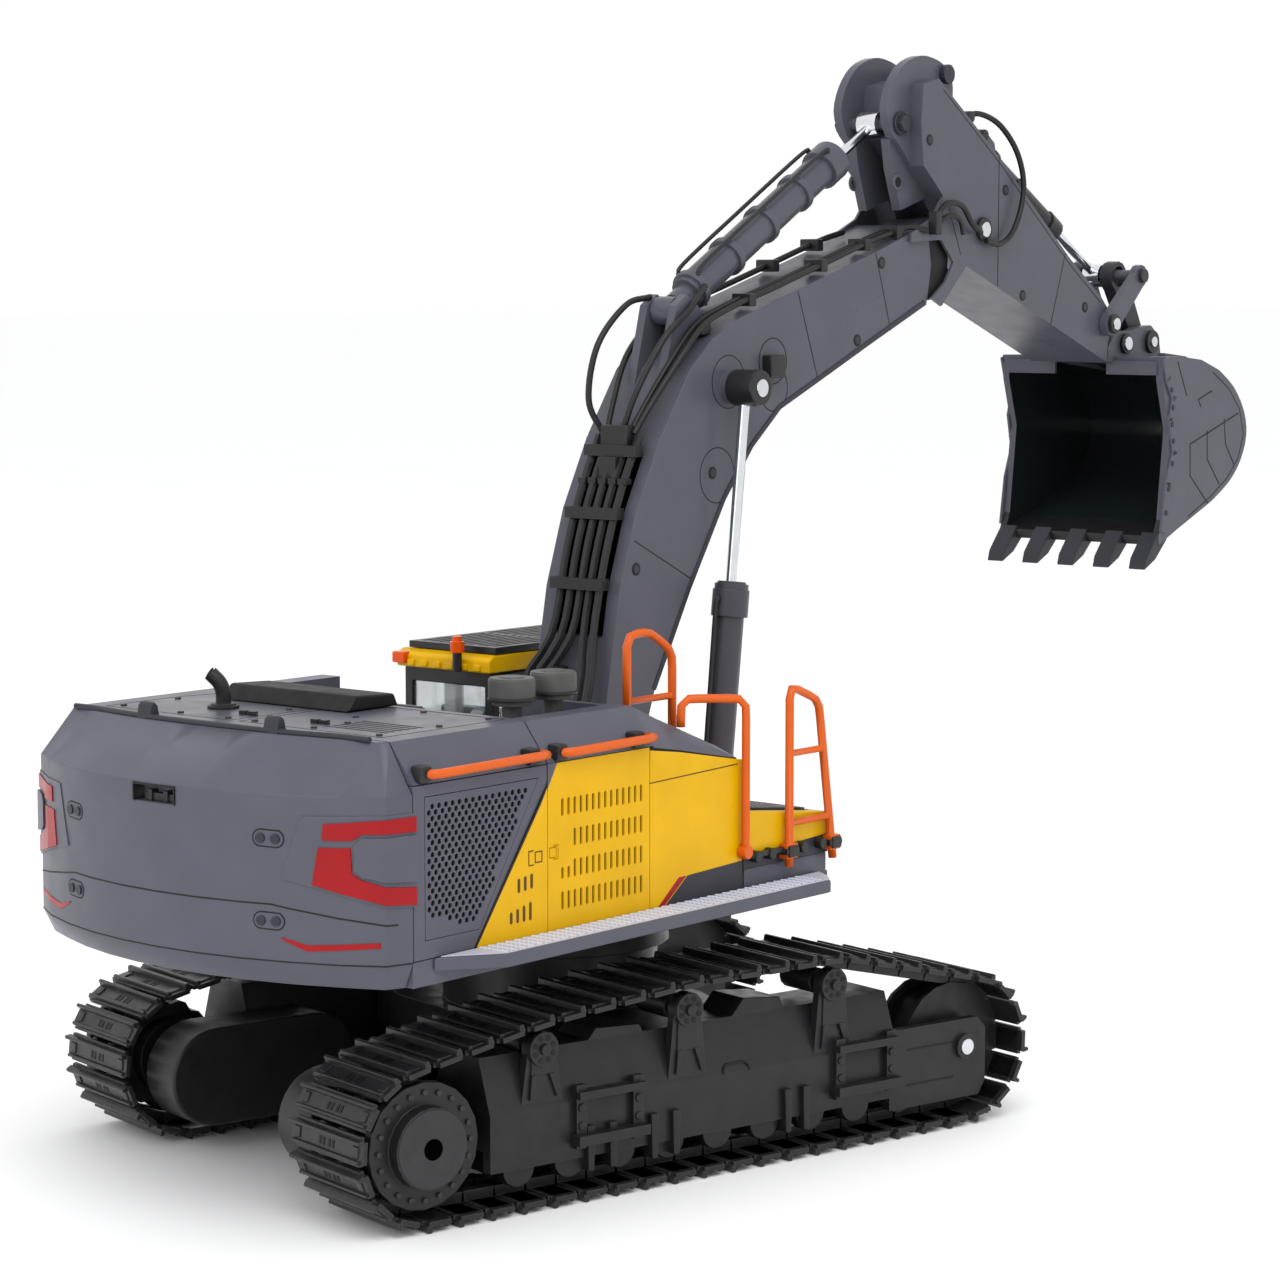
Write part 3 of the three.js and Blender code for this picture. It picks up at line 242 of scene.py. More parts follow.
# Flat black without sheen, painted shade: the dark inside the sprocket's hole and the shadow behind the
# boom's pipes.
PAINTED_SHADE_BLACK = painted("painted_shade_black", (3, 3, 3), 0.9, specular=0)
BUCKET_BLACK = painted("bucket_lining", (24, 31, 32), 0.2, specular=0.5)
RUBBER = moulded("hose_rubber", (24, 24, 25), 0.42)
CHROME = metal("polished_rod", (222, 225, 230), 0.09, (1, 1, 30))
PIN_STEEL = metal("pin_steel", (214, 216, 220), 0.22)
SEAT_GREY = moulded("seat_grey", (118, 120, 124), 0.6)
GLASS = glass("cab_glass", (196, 206, 212))
# Lit and shaded copies of one tread metal: the ribs painted lighter as highlight on their tops, the plate
# darker as shade between them.
TREAD = painted("tread_plate", (188, 191, 203), 0.45, specular=0.4)
LIT_TREAD_RIBS = painted("tread_ribs_painted_highlight", (216, 220, 234), 0.3, specular=0.5)


# ---------------------------------------------------------------- mesh pieces

class Shape:
    """Closed solids gathered in one mesh, in millimetres in machine coordinates."""

    def __init__(self):
        self.bm = bmesh.new()

    def skin(self, *loops):
        """A solid over loops of points that follow each other, with flat ends."""
        rings = [[self.bm.verts.new(point) for point in loop] for loop in loops]
        faces = [self.bm.faces.new(rings[0][::-1]), self.bm.faces.new(rings[-1])]
        count = len(rings[0])
        for first, second in zip(rings, rings[1:]):
            for i in range(count):
                j = (i + 1) % count
                faces.append(self.bm.faces.new((first[i], first[j], second[j], second[i])))
        bmesh.ops.recalc_face_normals(self.bm, faces=faces)
        return self

    def plan(self, points, up0, up1):
        """A prism upwards, from an outline in x and forward."""
        return self.skin([at(x, f, up0) for x, f in points], [at(x, f, up1) for x, f in points])

    def side(self, points, x0, x1):
        """A prism across the machine, from an outline in forward and up."""
        return self.skin([at(x0, f, u) for f, u in points], [at(x1, f, u) for f, u in points])

    def rear(self, points, forward0, forward1):
        """A prism along the machine, from an outline in x and up."""
        return self.skin([at(x, forward0, u) for x, u in points], [at(x, forward1, u) for x, u in points])

    def block(self, x0, x1, forward0, forward1, up0, up1):
        corners = [(x0, forward0), (x1, forward0), (x1, forward1), (x0, forward1)]
        return self.plan(corners, up0, up1)

    def disc(self, centre, radius, x0, x1, sides=28):
        return self.side(ring_points(centre, radius, sides), x0, x1)

    def post(self, x, forward, radius, up0, up1, sides=28):
        return self.plan(ring_points((x, forward), radius, sides), up0, up1)

    def line(self, prism, points, width, start, end):
        """A line of one width, drawn as prisms that overlap where it turns."""
        for (a0, b0), (a1, b1) in zip(points, points[1:]):
            run = math.hypot(a1 - a0, b1 - b0)
            over_a, over_b = (a1 - a0) / run * width / 4, (b1 - b0) / run * width / 4
            side_a, side_b = -2 * over_b, 2 * over_a
            outline = [
                (a0 - over_a + side_a, b0 - over_b + side_b),
                (a0 - over_a - side_a, b0 - over_b - side_b),
                (a1 + over_a - side_a, b1 + over_b - side_b),
                (a1 + over_a + side_a, b1 + over_b + side_b),
            ]
            prism(outline, start, end)
        return self

    def side_line(self, points, width, x0, x1):
        return self.line(self.side, points, width, x0, x1)

    def plan_line(self, points, width, up0, up1):
        return self.line(self.plan, points, width, up0, up1)

    def rear_line(self, points, width, forward0, forward1):
        return self.line(self.rear, points, width, forward0, forward1)

    def tube(self, points, radius, sides=10):
        """A round section carried along a smooth line through (x, forward, up) points."""
        line = smooth_line([at(*point) for point in points])
        loops = []
        normal = None
        for i, point in enumerate(line):
            tangent = (line[min(i + 1, len(line) - 1)] - line[max(i - 1, 0)]).normalized()
            if normal is None:
                normal = tangent.orthogonal().normalized()
            normal = (normal - tangent * normal.dot(tangent)).normalized()
            loops.append(circle(point, normal, tangent.cross(normal), radius, sides))
        return self.skin(*loops)

    def mesh(self, body):
        """The solids as a mesh in metres, where the body's pieces go."""
        mesh = written(self.bm)
        mesh.transform(placing(body) @ Matrix.Scale(MM, 4))
        return mesh

    def make(self, name, material, body="upper_works", bevel=0.25, stands_for=()):
        return finish(add(name, self.mesh(body)), material, body, bevel, stands_for)


def ring_points(centre, radius, sides, start=0.0):
    """Points round a centre, as pairs of numbers."""
    angles = [start + 2 * math.pi * k / sides for k in range(sides)]
    return [(centre[0] + radius * math.cos(a), centre[1] + radius * math.sin(a)) for a in angles]


def circle(centre, across, over, radius, sides):
    """Points round a centre, in the plane of two unit vectors."""
    return [centre + across * a + over * b for a, b in ring_points((0, 0), radius, sides)]


def smooth_line(points, steps=8):
    """Points along a Catmull-Rom curve through the given ones."""
    ends = [points[0] * 2 - points[1], *points, points[-1] * 2 - points[-2]]
    line = []
    for a, b, c, d in zip(ends, ends[1:], ends[2:], ends[3:]):
        for step in range(steps):
            t = step / steps
            curve = b * 2 + (c - a) * t + (a * 2 - b * 5 + c * 4 - d) * t**2 + (b * 3 - a - c * 3 + d) * t**3
            line.append(curve * 0.5)
    line.append(points[-1])
    return line


def written(bm):
    """A new mesh from a bmesh, which it frees."""
    mesh = bpy.data.meshes.new("mesh")
    bm.to_mesh(mesh)
    bm.free()
    return mesh


def add(name, data):
    """A new object in the scene."""
    made = bpy.data.objects.new(name, data)
    bpy.context.scene.collection.objects.link(made)
    return made


def settle(piece):
    """Turns a piece's modifiers into its mesh."""
    evaluated = piece.evaluated_get(bpy.context.evaluated_depsgraph_get())
    mesh = bpy.data.meshes.new_from_object(evaluated)
    piece.modifiers.clear()
    piece.data = mesh


def finish(piece, material, body, bevel, stands_for=(), angle=38):
    """Rounds the edges, evens the shading and hangs the piece on its body."""
    if bevel:
        rounding = piece.modifiers.new("rounding", "BEVEL")
        rounding.width = bevel * MM
        rounding.segments = 2
        rounding.limit_method = "ANGLE"
        rounding.angle_limit = math.radians(angle)
        rounding.harden_normals = False
        settle(piece)
    piece.data.materials.clear()
    piece.data.materials.append(material)
    piece.data.polygons.foreach_set("use_smooth", [True] * len(piece.data.polygons))
    piece.data.set_sharp_from_angle(angle=math.radians(angle))
    if bevel:
        evening = piece.modifiers.new("evening", "WEIGHTED_NORMAL")
        evening.keep_sharp = True
        settle(piece)
    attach(piece, body)
    if stands_for:
        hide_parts(*stands_for)
    return piece


def combine(piece, shape, operation, body):
    """Takes a Shape out of a piece, or keeps only what the two share."""
    tool = add("tool", shape.mesh(body))
    change = piece.modifiers.new("change", "BOOLEAN")
    change.operation = operation
    change.solver = "EXACT"
    change.use_self = True
    change.object = tool
    settle(piece)
    bpy.data.objects.remove(tool)


def joined_surface(node):
    """The CAD node's own surface, with its doubled vertices merged."""
    bm = bmesh.new()
    bm.from_mesh(NODES[node].data)
    bmesh.ops.remove_doubles(bm, verts=bm.verts, dist=2e-6)
    return bm


def shell(node, material, bevel=0.35, cutter=None, angle=38):
    """The CAD node's own shape with merged faces, rounded edges and smooth rounds."""
    body = BODY_OF[node]
    bm = joined_surface(node)
    flat = math.radians(0.1)
    bmesh.ops.dissolve_limit(
        bm, angle_limit=flat, verts=bm.verts, edges=bm.edges, use_dissolve_boundaries=False
    )
    piece = add(node + "_shell", written(bm))
    if cutter:
        combine(piece, cutter, "DIFFERENCE", body)
    return finish(piece, material, body, bevel, (node,), angle)


def inlay(name, node, shape, material, rise=0.12):
    """A thin skin of another finish on a node, as wide as a prism that runs through its surface."""
    body = BODY_OF[node]
    bm = joined_surface(node)
    bm.normal_update()
    moves = [(v, v.normal * v.calc_shell_factor() * rise * MM) for v in bm.verts]
    for vertex, move in moves:
        vertex.co += move
    piece = add(name, written(bm))
    combine(piece, shape, "INTERSECT", body)
    return finish(piece, material, body, 0)


# ---------------------------------------------------------------- counterweight

TAIL = 166
TAIL_BOW = 5
TAIL_CHORD = 55.5


def tail_line(x, inset=0.0):
    """How far forward the rounded rear edge of the deck lies at x."""
    radius = (TAIL_CHORD**2 + TAIL_BOW**2) / (2 * TAIL_BOW)
    return radius - TAIL - math.sqrt(radius**2 - min(abs(x), TAIL_CHORD) ** 2) + inset


def capsule(x, up, half_long, half_high, sides=16):
    """An outline with straight sides and round ends."""
    reach = half_long - half_high
    ring = ring_points((0, 0), half_high, sides)
    return [(x + a + (reach if a > 0 else -reach), up + b) for a, b in ring]


def mirrored(points, side):
    """Points given for the right side, which has negative x."""
    return [(-side * x, up) for x, up in points]


LAMP_ZONE = [(-54.3, 135.8), (-48, 116.5), (-58, 114.4), (-81, 108), (-81, 136.8)]
LAMP_UPPER = [(-61, 133.8), (-81, 135.8), (-81, 131.2), (-71.6, 131), (-69, 129), (-60.6, 128.9)]
LAMP_LOWER = [
    (-59.4, 126.6), (-68.6, 126.9), (-69, 119), (-71.5, 117.2), (-81, 114.2), (-81, 108.9), (-57.5, 115.2),
]
LAMP_BOX = [(-70, 127.5), (-72, 129.8), (-81, 130.2), (-81, 116.2), (-72, 118.2), (-70, 120)]
LOW_STRIPE = [(-47.5, 98.6), (-55.8, 96.6), (-76, 98.2), (-76, 96.5), (-55.6, 94.7), (-48.5, 97.6)]
CREASE = [(-78.5, 103.3), (-44, 108.4), (44, 108.4), (78.5, 103.3)]
REAR_SPAN = (-195, -154)
LATCH_SPAN = (-188, -180)


REAR_SKINS = {
    "lamp_zone": (LAMP_ZONE, GREY, 0.35),
    "lamp_upper": (LAMP_UPPER, RED, 0.7),
    "lamp_lower": (LAMP_LOWER, RED, 0.7),
    "lamp_box": (LAMP_BOX, GREY, 1.2),
    "low_stripe": (LOW_STRIPE, RED, 0.2),
}


def counterweight():
    shell("counterweight", GREY, 0.9)
    for side, word in SIDES:
        for name, (outline, material, rise) in REAR_SKINS.items():
            prism = Shape().rear(mirrored(outline, side), *REAR_SPAN)
            inlay(f"{name}_{word}", "counterweight", prism, material, rise)
    seams = Shape().rear_line(CREASE, 0.5, *REAR_SPAN)
    seams.block(-90, 90, *REAR_SPAN, 90.8, 91.3)
    inlay("counterweight_seams", "counterweight", seams, DEEP_BLACK, 0.06)
    rear_bolts()
    latch()
    rear_rail()


def rear_bolts():
    """Pairs of bolt heads on outlined oval pads."""
    rims = Shape()
    faces = Shape()
    heads = Shape()
    for x in (-43.5, 43.5):
        for up in (128.5, 103.3):
            rims.rear(capsule(x, up, 5.4, 2.9), *REAR_SPAN)
            faces.rear(capsule(x, up, 4.9, 2.4), *REAR_SPAN)
            for offset in (-2.5, 2.5):
                heads.rear(ring_points((x + offset, up), 1.5, 14), *REAR_SPAN)
    inlay("bolt_outlines", "counterweight", rims, DEEP_BLACK, 0.06)
    inlay("bolt_pads", "counterweight", faces, GREY)
    inlay("bolt_heads", "counterweight", heads, DARK_GREY, 0.7)


def latch():
    outline = Shape().block(-9.4, 9.4, *LATCH_SPAN, 141.1, 141.8)
    grip = Shape().block(-6.5, 6.5, -184.6, -182, 136.1, 138.6)
    for side, _ in SIDES:
        outline.block(side * 8.6, side * 9.4, *LATCH_SPAN, 136, 141.5)
        grip.block(side * 2.5, side * 4.5, -185.2, -182, 136.1, 139.6)
    inlay("latch_outline", "counterweight", outline, DEEP_BLACK, 0.25)
    grip.make("latch_grip", BLACK)


def rear_rail():
    rail_line = [(x, tail_line(x, 1.4), 158.1) for x in range(-66, 67, 12)]
    Shape().tube(rail_line, 1.0).make("deck_rear_rail", DARK_GREY, bevel=0)
    knobs = Shape()
    for x in (-28, 29):
        rear = tail_line(x, 0.2)
        profile = ((0, 157.2), (0.9, 161.6), (2.4, 163), (4, 161.6), (5, 157.2))
        knobs.side([(rear + forward, up) for forward, up in profile], x - 3.2, x + 3.2)
    knobs.make("deck_knobs", DARK_GREY, bevel=0.8)


# ---------------------------------------------------------------- deck

DECK_TOP = 157.2
DECK_SPAN = (155, 160)
VENT_PITCH = 3.2
FILTER_X = -50
FILTER_RADIUS = 7.4
EXHAUST_X = 28
EXHAUST_FORWARD = -130
HATCHES = (
    [(4, -150), (62, -150), (62, -118), (56, -94), (4, -94)],
    [(-62, -150), (0, -150), (0, -94), (-62, -94)],
)
DECK_SCREWS = (
    (58, -146), (58, -122), (30, -147), (8, -147), (8, -120), (-4, -147), (-4, -97), (-30, -97),
    (-58, -147), (-58, -97), (-58, -120), (-30, -147), (-22, -120), (-30, -132),
)


def deck():
    for node in ("engine_hood", "side_hood_right", "side_hood_left"):
        shell(node, GREY, 0.6)
    shell("exhaust_pipe", BLACK, 0.5)
    shell("engine_hump", DEEP_BLACK, 0.8)
    air_filters()
    deck_lines()
    deck_fittings()
    exhaust()
    well()


def air_filters():
    for word, forward, top in (("rear", -76.7, 168.5), ("front", -56.2, 168.8)):
        shell(f"air_filter_{word}", FILTER_BLACK, 1.1)
        cap = Shape().post(FILTER_X, forward, FILTER_RADIUS + 0.3, top - 6.6, top - 0.2, 40)
        cap.post(FILTER_X, forward, FILTER_RADIUS - 3.2, top - 1, top + 0.5, 32)
        cap.make(f"filter_cap_{word}", FILTER_BLACK, bevel=0.9)
        bands = Shape().post(FILTER_X, forward, FILTER_RADIUS + 0.5, top - 7.4, top - 6.5, 40)
        bands.make(f"filter_bands_{word}", BLACK)
        foot = Shape().post(FILTER_X, forward, 4.2, 145.2, 147.4)
        foot.post(FILTER_X, forward, 3.7, 151, 152.4)
        foot.make(f"filter_foot_{word}", BLACK)


def deck_lines():
    seams = Shape()
    for corners in HATCHES:
        seams.plan_line([*corners, corners[0]], 0.45, *DECK_SPAN)
    for side, _ in SIDES:
        seams.plan_line([(side * 82, -94), (side * 70, -94)], 0.5, 143, 160)
    inlay("deck_seams", "engine_hood", seams, DEEP_BLACK, 0.05)
    # The vent slots are flat dark strips: painted shade in place of openings.
    vents = Shape()
    for row in range(6):
        vents.block(-56, -30, -142 + row * VENT_PITCH, -140.6 + row * VENT_PITCH, *DECK_SPAN)
    inlay("deck_vents", "engine_hood", vents, DEEP_BLACK, 0.06)


def deck_fittings():
    screws = Shape()
    for x, forward in DECK_SCREWS:
        screws.post(x, forward, 1.1, DECK_TOP - 0.2, DECK_TOP + 0.9, 12)
    screws.make("deck_screws", DARK_GREY)
    hinges = Shape()
    for x, forward in ((9, -137.2), (-24, -138.1)):
        for knuckle in (x - 2, x + 2):
            hinges.block(knuckle - 1.4, knuckle + 1.4, forward - 1.1, forward + 1.1, DECK_TOP - 0.2, 158.9)
        hinges.block(x - 4, x + 4, forward - 0.5, forward + 0.5, DECK_TOP - 0.2, 158.3)
    hinges.make("deck_hinges", BLACK)


def exhaust():
    collar = Shape().post(EXHAUST_X, EXHAUST_FORWARD, 5.2, DECK_TOP, DECK_TOP + 1.4)
    collar.make("exhaust_collar", BLACK)
    foot = [(EXHAUST_X, EXHAUST_FORWARD, 158), (EXHAUST_X, EXHAUST_FORWARD, 162.4)]
    end = (31.2, -132.6, 169)
    Shape().tube([*foot, (28.8, -130.8, 165.8), end], 2.5, 20).make("exhaust_horn", BLACK, bevel=0)
    # The horn's mouth is a dark plug: painted shade for the inside of the pipe.
    Shape().tube([end, (31.5, -132.8, 169.25)], 1.9, 20).make("exhaust_mouth", DEEP_BLACK, bevel=0)


def well():
    """Valves and hoses in the low part of the deck beside the boom."""
    valves = Shape()
    for x, forward in ((-20, -78), (12, -70), (36, -62)):
        valves.block(x - 7, x + 7, forward - 5, forward + 5, 145.1, 149.5)
        valves.post(x, forward, 2.6, 149, 152, 20)
    valves.make("well_valves", BLACK, bevel=0.7)
    hoses = Shape().tube([(-13, -78, 148), (-4, -76, 151), (5, -71, 148)], 1.1)
    hoses.tube([(19, -69, 148), (25, -67, 151), (29, -63, 148)], 1.1)
    hoses.make("well_hoses", RUBBER, bevel=0)


# ---------------------------------------------------------------- doors

WALL_SPAN = (-85, -77)
LEFT_SPAN = (79, 84)
GRILLE_FLOOR = -79.0
GRILLE_EDGE = [(-150.4, 97.2), (-126.2, 97.2), (-98.4, 140.8), (-150.4, 140.8)]
HOLE_PITCH = 3.05
HOLE_ROW = 1.85
HOLE_RADIUS = 1.0
SLOT_SPAN = (-81, -78.6)
SLOT_START = -86.7
SLOT_PITCH = 3.02
SLOT_HALF = 0.62
SLOT_CORNER = 0.45
SLOT_COUNT = 14
SLOT_ROWS = ((127.4, 133.2, 0), (117.2, 123.1, 2), (107.2, 113.2, 0), (97.3, 103.4, 0))


def hole_centres(rows):
    """The grille's staggered holes, kept inside its slanted front and its floor."""
    for row in range(rows):
        for column in range(18):
            forward = -148.6 + (column + row % 2 / 2) * HOLE_PITCH
            up = 98.9 + row * HOLE_ROW
            slant = -126.2 + (up - 97.2) * 27.8 / 43.6
            floor = 98.6 - min(0, (forward + 128) * 0.3)
            if forward < slant - 2.6 and floor < up:
                yield forward, up


def grille():
    shell("grille_door_right", GREY, 0.25)
    # A dark sheet behind the grille's holes: painted shade for the dark inside the hood.
    dark = Shape().side(GRILLE_EDGE, GRILLE_FLOOR - 0.1, GRILLE_FLOOR + 0.3)
    dark.make("grille_painted_shade", DEEP_BLACK, bevel=0)
    sheet = add("grille_sheet", Shape().side(GRILLE_EDGE, -79.95, -79.35).mesh("upper_works"))
    holes = Shape()
    for centre in hole_centres(22):
        holes.side(ring_points(centre, HOLE_RADIUS, 6, math.pi / 2), -81, -79)
    combine(sheet, holes, "DIFFERENCE", "upper_works")
    finish(sheet, GREY, "upper_works", 0)


def slot(shape, forward, low, high):
    """An upright slot with cut corners, through the right-hand wall."""
    rear, front = forward - SLOT_HALF, forward + SLOT_HALF
    shape.side(
        [
            (rear, low + SLOT_CORNER), (rear + SLOT_CORNER, low),
            (front - SLOT_CORNER, low), (front, low + SLOT_CORNER),
            (front, high - SLOT_CORNER), (front - SLOT_CORNER, high),
            (rear + SLOT_CORNER, high), (rear, high - SLOT_CORNER),
        ],
        *SLOT_SPAN,
    )


def bracket_outline(shape, end, inward, low, high, middle):
    """A square bracket that opens inward, with a small square inside it."""
    bracket = [(end + inward, high), (end, high), (end, low), (end + inward, low)]
    rear, front, foot, top = middle - 1.6, middle + 1.6, low + 0.6, high - 0.6
    square = [(rear, top), (front, top), (front, foot), (rear, foot), (rear, top)]
    for line in (bracket, square):
        shape.side_line(line, 0.4, -81, -79.5)


def grille_wedge():
    """The yellow front of the grille door, with its slots and the seam ahead of it."""
    wedge = Shape().side([(-94.3, 137.3), (-94.3, 91), (-128, 91)], *WALL_SPAN)
    inlay("door_wedge", "grille_door_right", wedge, YELLOW)
    # The slots and the latch outline are inlays in painted shade of the yellow.
    dark = Shape()
    for k in range(3):
        slot(dark, -108 + k * SLOT_PITCH, 105.8 + 0.3 * k, 110.4 + 0.4 * k)
    for k in range(4):
        slot(dark, -111.6 + k * SLOT_PITCH, 96.4, 100.2 + 0.7 * k)
    bracket_outline(dark, -103.3, 2.2, 113.8, 118.3, -98.65)
    inlay("wedge_slots", "grille_door_right", dark, PAINTED_SHADE_YELLOW, 0.16)
    seam = Shape().side_line([(-128.6, 91), (-94.9, 137.3), (-89.8, 146)], 0.8, *WALL_SPAN)
    inlay("door_seam", "grille_door_right", seam, DEEP_BLACK, 0.2)


def vent_door():
    cuts = Shape()
    for number, (low, high, skipped) in enumerate(SLOT_ROWS):
        for k in range(skipped, SLOT_COUNT):
            short = number == 2 and k < 2
            slot(cuts, SLOT_START + k * SLOT_PITCH, low, high - 2 if short else high)
    bracket_outline(cuts, -88.9, -2.2, 114.2, 118.6, -91.4)
    shell("vent_door_right", YELLOW, 0.25, cutter=cuts)
    # A sheet behind the cut slots, in painted shade of the yellow for the dark inside them.
    dark = Shape().side([(-88, 96), (-45, 96), (-45, 134.5), (-88, 134.5)], -79.3, -78.5)
    dark.make("vent_painted_shade", PAINTED_SHADE_YELLOW, bevel=0)
    corner = Shape().side([(-94, 137), (-94, 145), (-89.2, 145)], *WALL_SPAN)
    inlay("vent_door_corner", "vent_door_right", corner, GREY)


def front_cover(side, word, rear_top, bend_top):
    node = f"front_cover_{word}"
    wall = (side * 78.9, side * 84)
    shell(node, YELLOW, 0.4)
    # The seam is drawn in the painted-shade yellow.
    seam = Shape().side_line([(-42.8, 132.9), (4, 134.2)], 0.4, *wall)
    inlay(node + "_seam", node, seam, PAINTED_SHADE_YELLOW, 0.05)
    slash = Shape().side([(-39.2, 91), (-36.2, 91), (-23.9, 99.9), (-27.7, 99.9)], *wall)
    inlay(node + "_slash", node, slash, RED, 0.14)
    stripe = Shape().side([(-35.4, 91), (-23.1, 99.9), (6.5, 101), (6.5, 91)], *wall)
    inlay(node + "_band", node, stripe, DARK_GREY, 0.14)
    edge = [(-42.6, 138), (-42.6, rear_top), (-26.7, bend_top), (4, 136.4), (4, 130)]
    backing = Shape().side(edge, side * 77.2, side * 79.2)
    backing.make(node + "_backing", DEEP_BLACK, bevel=0)


def left_door():
    shell("side_door_left", YELLOW, 0.4)
    # The left door's slots are flat inlays in painted shade of the yellow, not cuts.
    slots = Shape()
    for low, high, _ in SLOT_ROWS:
        for k in range(SLOT_COUNT):
            middle = SLOT_START + k * SLOT_PITCH
            slots.block(*LEFT_SPAN, middle - SLOT_HALF, middle + SLOT_HALF, low, high)
    inlay("left_door_slots", "side_door_left", slots, PAINTED_SHADE_YELLOW, 0.05)
    wedge = Shape().side([(-94.3, 137.3), (-128, 91), (-160, 91), (-160, 146), (-89.2, 146)], *LEFT_SPAN)
    inlay("left_door_grey", "side_door_left", wedge, GREY)
    # The left door's holes are flat dark discs: painted shade in place of real holes.
    holes = Shape()
    for centre in hole_centres(20):
        holes.disc(centre, HOLE_RADIUS, *LEFT_SPAN, 6)
    inlay("left_door_holes", "side_door_left", holes, DEEP_BLACK, 0.16)
    seam = Shape().side_line([(-93.9, 91), (-93.9, 145)], 0.5, *LEFT_SPAN)
    inlay("left_door_seam", "side_door_left", seam, DEEP_BLACK, 0.18)


def doors():
    grille()
    grille_wedge()
    vent_door()
    front_cover(-1, "right", 144.8, 142.5)
    front_cover(1, "left", 141.5, 139.5)
    left_door()


# ---------------------------------------------------------------- side steps

STEP_TOP = 91.3
TREAD_OUTLINE = [(80.6, -144.5), (92.4, -127.6), (92.4, 38.4), (91, 41.5), (87, 45.4), (80.6, 49.5)]
RIB_PITCH = 2.03
RIB_LANE = 1.85


def step():
    for side, word in SIDES:
        shell(f"side_step_{word}", GREY, 0.6)
        points = [(side * x, forward) for x, forward in TREAD_OUTLINE]
        tread = Shape().plan(points, STEP_TOP - 0.2, STEP_TOP + 0.25)
        tread.make(f"step_tread_{word}", TREAD, bevel=0.15)
        ribs = Shape()
        for number in range(82):
            forward = -126.5 + number * RIB_PITCH
            lean = 0.5 if number % 2 else -0.5
            for lane in range(6):
                x = side * (81.8 + lane * RIB_LANE + 0.9 * lean)
                rear, front = forward - lean, forward + lean
                outline = [
                    (x - 0.55, rear - 0.2), (x + 0.55, front - 0.2),
                    (x + 0.55, front + 0.2), (x - 0.55, rear + 0.2),
                ]
                ribs.plan(outline, STEP_TOP + 0.1, STEP_TOP + 0.5)
        ribs.make(f"step_ribs_{word}", LIT_TREAD_RIBS, bevel=0)


# ---------------------------------------------------------------- rails and platform

def rails():
    for node in ("grab_bar_rear", "grab_bar_front", "hood_rail", "body_rail", "ladder_rail"):
        shell(node, ORANGE, 0, angle=70)
    mounts = Shape()
    for forward in (-151, -101, -88, -49.4):
        profile = ((-2.8, 145.6), (2.8, 145.6), (2.2, 150.6), (-2.2, 150.6))
        mounts.side([(forward + along, up) for along, up in profile], -81.6, -76.6)
    mounts.make("grab_bar_mounts", BLACK, bevel=0.7)
    clamps = Shape()
    for forward in (30, 55):
        clamps.block(-84.6, -79, forward - 2.6, forward + 2.6, 99.5, 103.5)
        clamps.block(-84.2, -80, forward - 3.6, forward + 3.6, 100.4, 102.6)
    clamps.block(-82.6, -80.2, 9, 30, 101.4, 103.2)
    for forward in (12, 20, 38, 49):
        clamps.disc((forward, 101.8), 2, -83.2, -79.6, 14)
    clamps.make("rail_clamps", BLACK, bevel=0.5)
    foot = Shape().disc((5.5, 104.2), 2.4, -83.8, -80.1, 20)
    foot.make("body_rail_foot", ORANGE, bevel=0.5)


PLATFORM_SPAN = (111, 119)
GRATING_PITCH = 2.9


def platform():
    shell("front_platform", YELLOW, 0.6)
    skirt = Shape().side([(5, 90), (60, 90), (60, 104.5), (26, 103), (5, 101)], -84, -30)
    inlay("platform_skirt", "front_platform", skirt, DARK_GREY)
    grating = Shape()
    for along in (k * GRATING_PITCH for k in range(13)):
        grating.block(-75, -39, 12.5 + along, 13.6 + along, *PLATFORM_SPAN)
        grating.block(-75 + along, -73.9 + along, 12.5, 48.4, *PLATFORM_SPAN)
    # A dark sheet under the grating: painted shade in the gaps between its bars.
    base = Shape().block(-76, -38, 11.5, 49.5, *PLATFORM_SPAN)
    inlay("platform_base", "front_platform", base, DEEP_BLACK, 0.1)
    inlay("platform_grating", "front_platform", grating, BLACK, 0.9)
    shell("revolving_frame", GREY, 0.5)
    shell("battery_pack", BLACK, 0.5)


# ---------------------------------------------------------------- cab

SIDE_PANE = [(11, 128), (76, 118), (80, 120), (78, 136), (70, 151), (11, 151)]


def cab():
    shell("cab_shell", BLACK, 0.6)
    shell("cab_roof", YELLOW, 0.8)
    shell("cab_beacon", ORANGE_LAMP, 0.25)
    shell("operator_seat", RUBBER, 1.0)
    slots = Shape()
    for k in range(10):
        x = 35.2 + k * 3.75
        slots.block(x, x + 1.7, 11, 44, 160, 170)
        slots.block(x, x + 1.7, 47, 80.5, 160, 170)
    shell("cab_roof_guard", BLACK, 0.2, cutter=slots)
    cab_glass()
    cab_roof_details()
    cab_wall_details()


def cab_glass():
    panes = Shape().side(SIDE_PANE, 74.2, 74.8).side(SIDE_PANE, 34.2, 34.8)
    panes.block(37, 72, 8.0, 8.6, 130, 151)
    panes.side([(86, 112), (86.6, 112), (83.6, 135), (76, 150), (75.4, 150), (83, 135)], 37, 72)
    panes.make("cab_glass", GLASS, bevel=0)


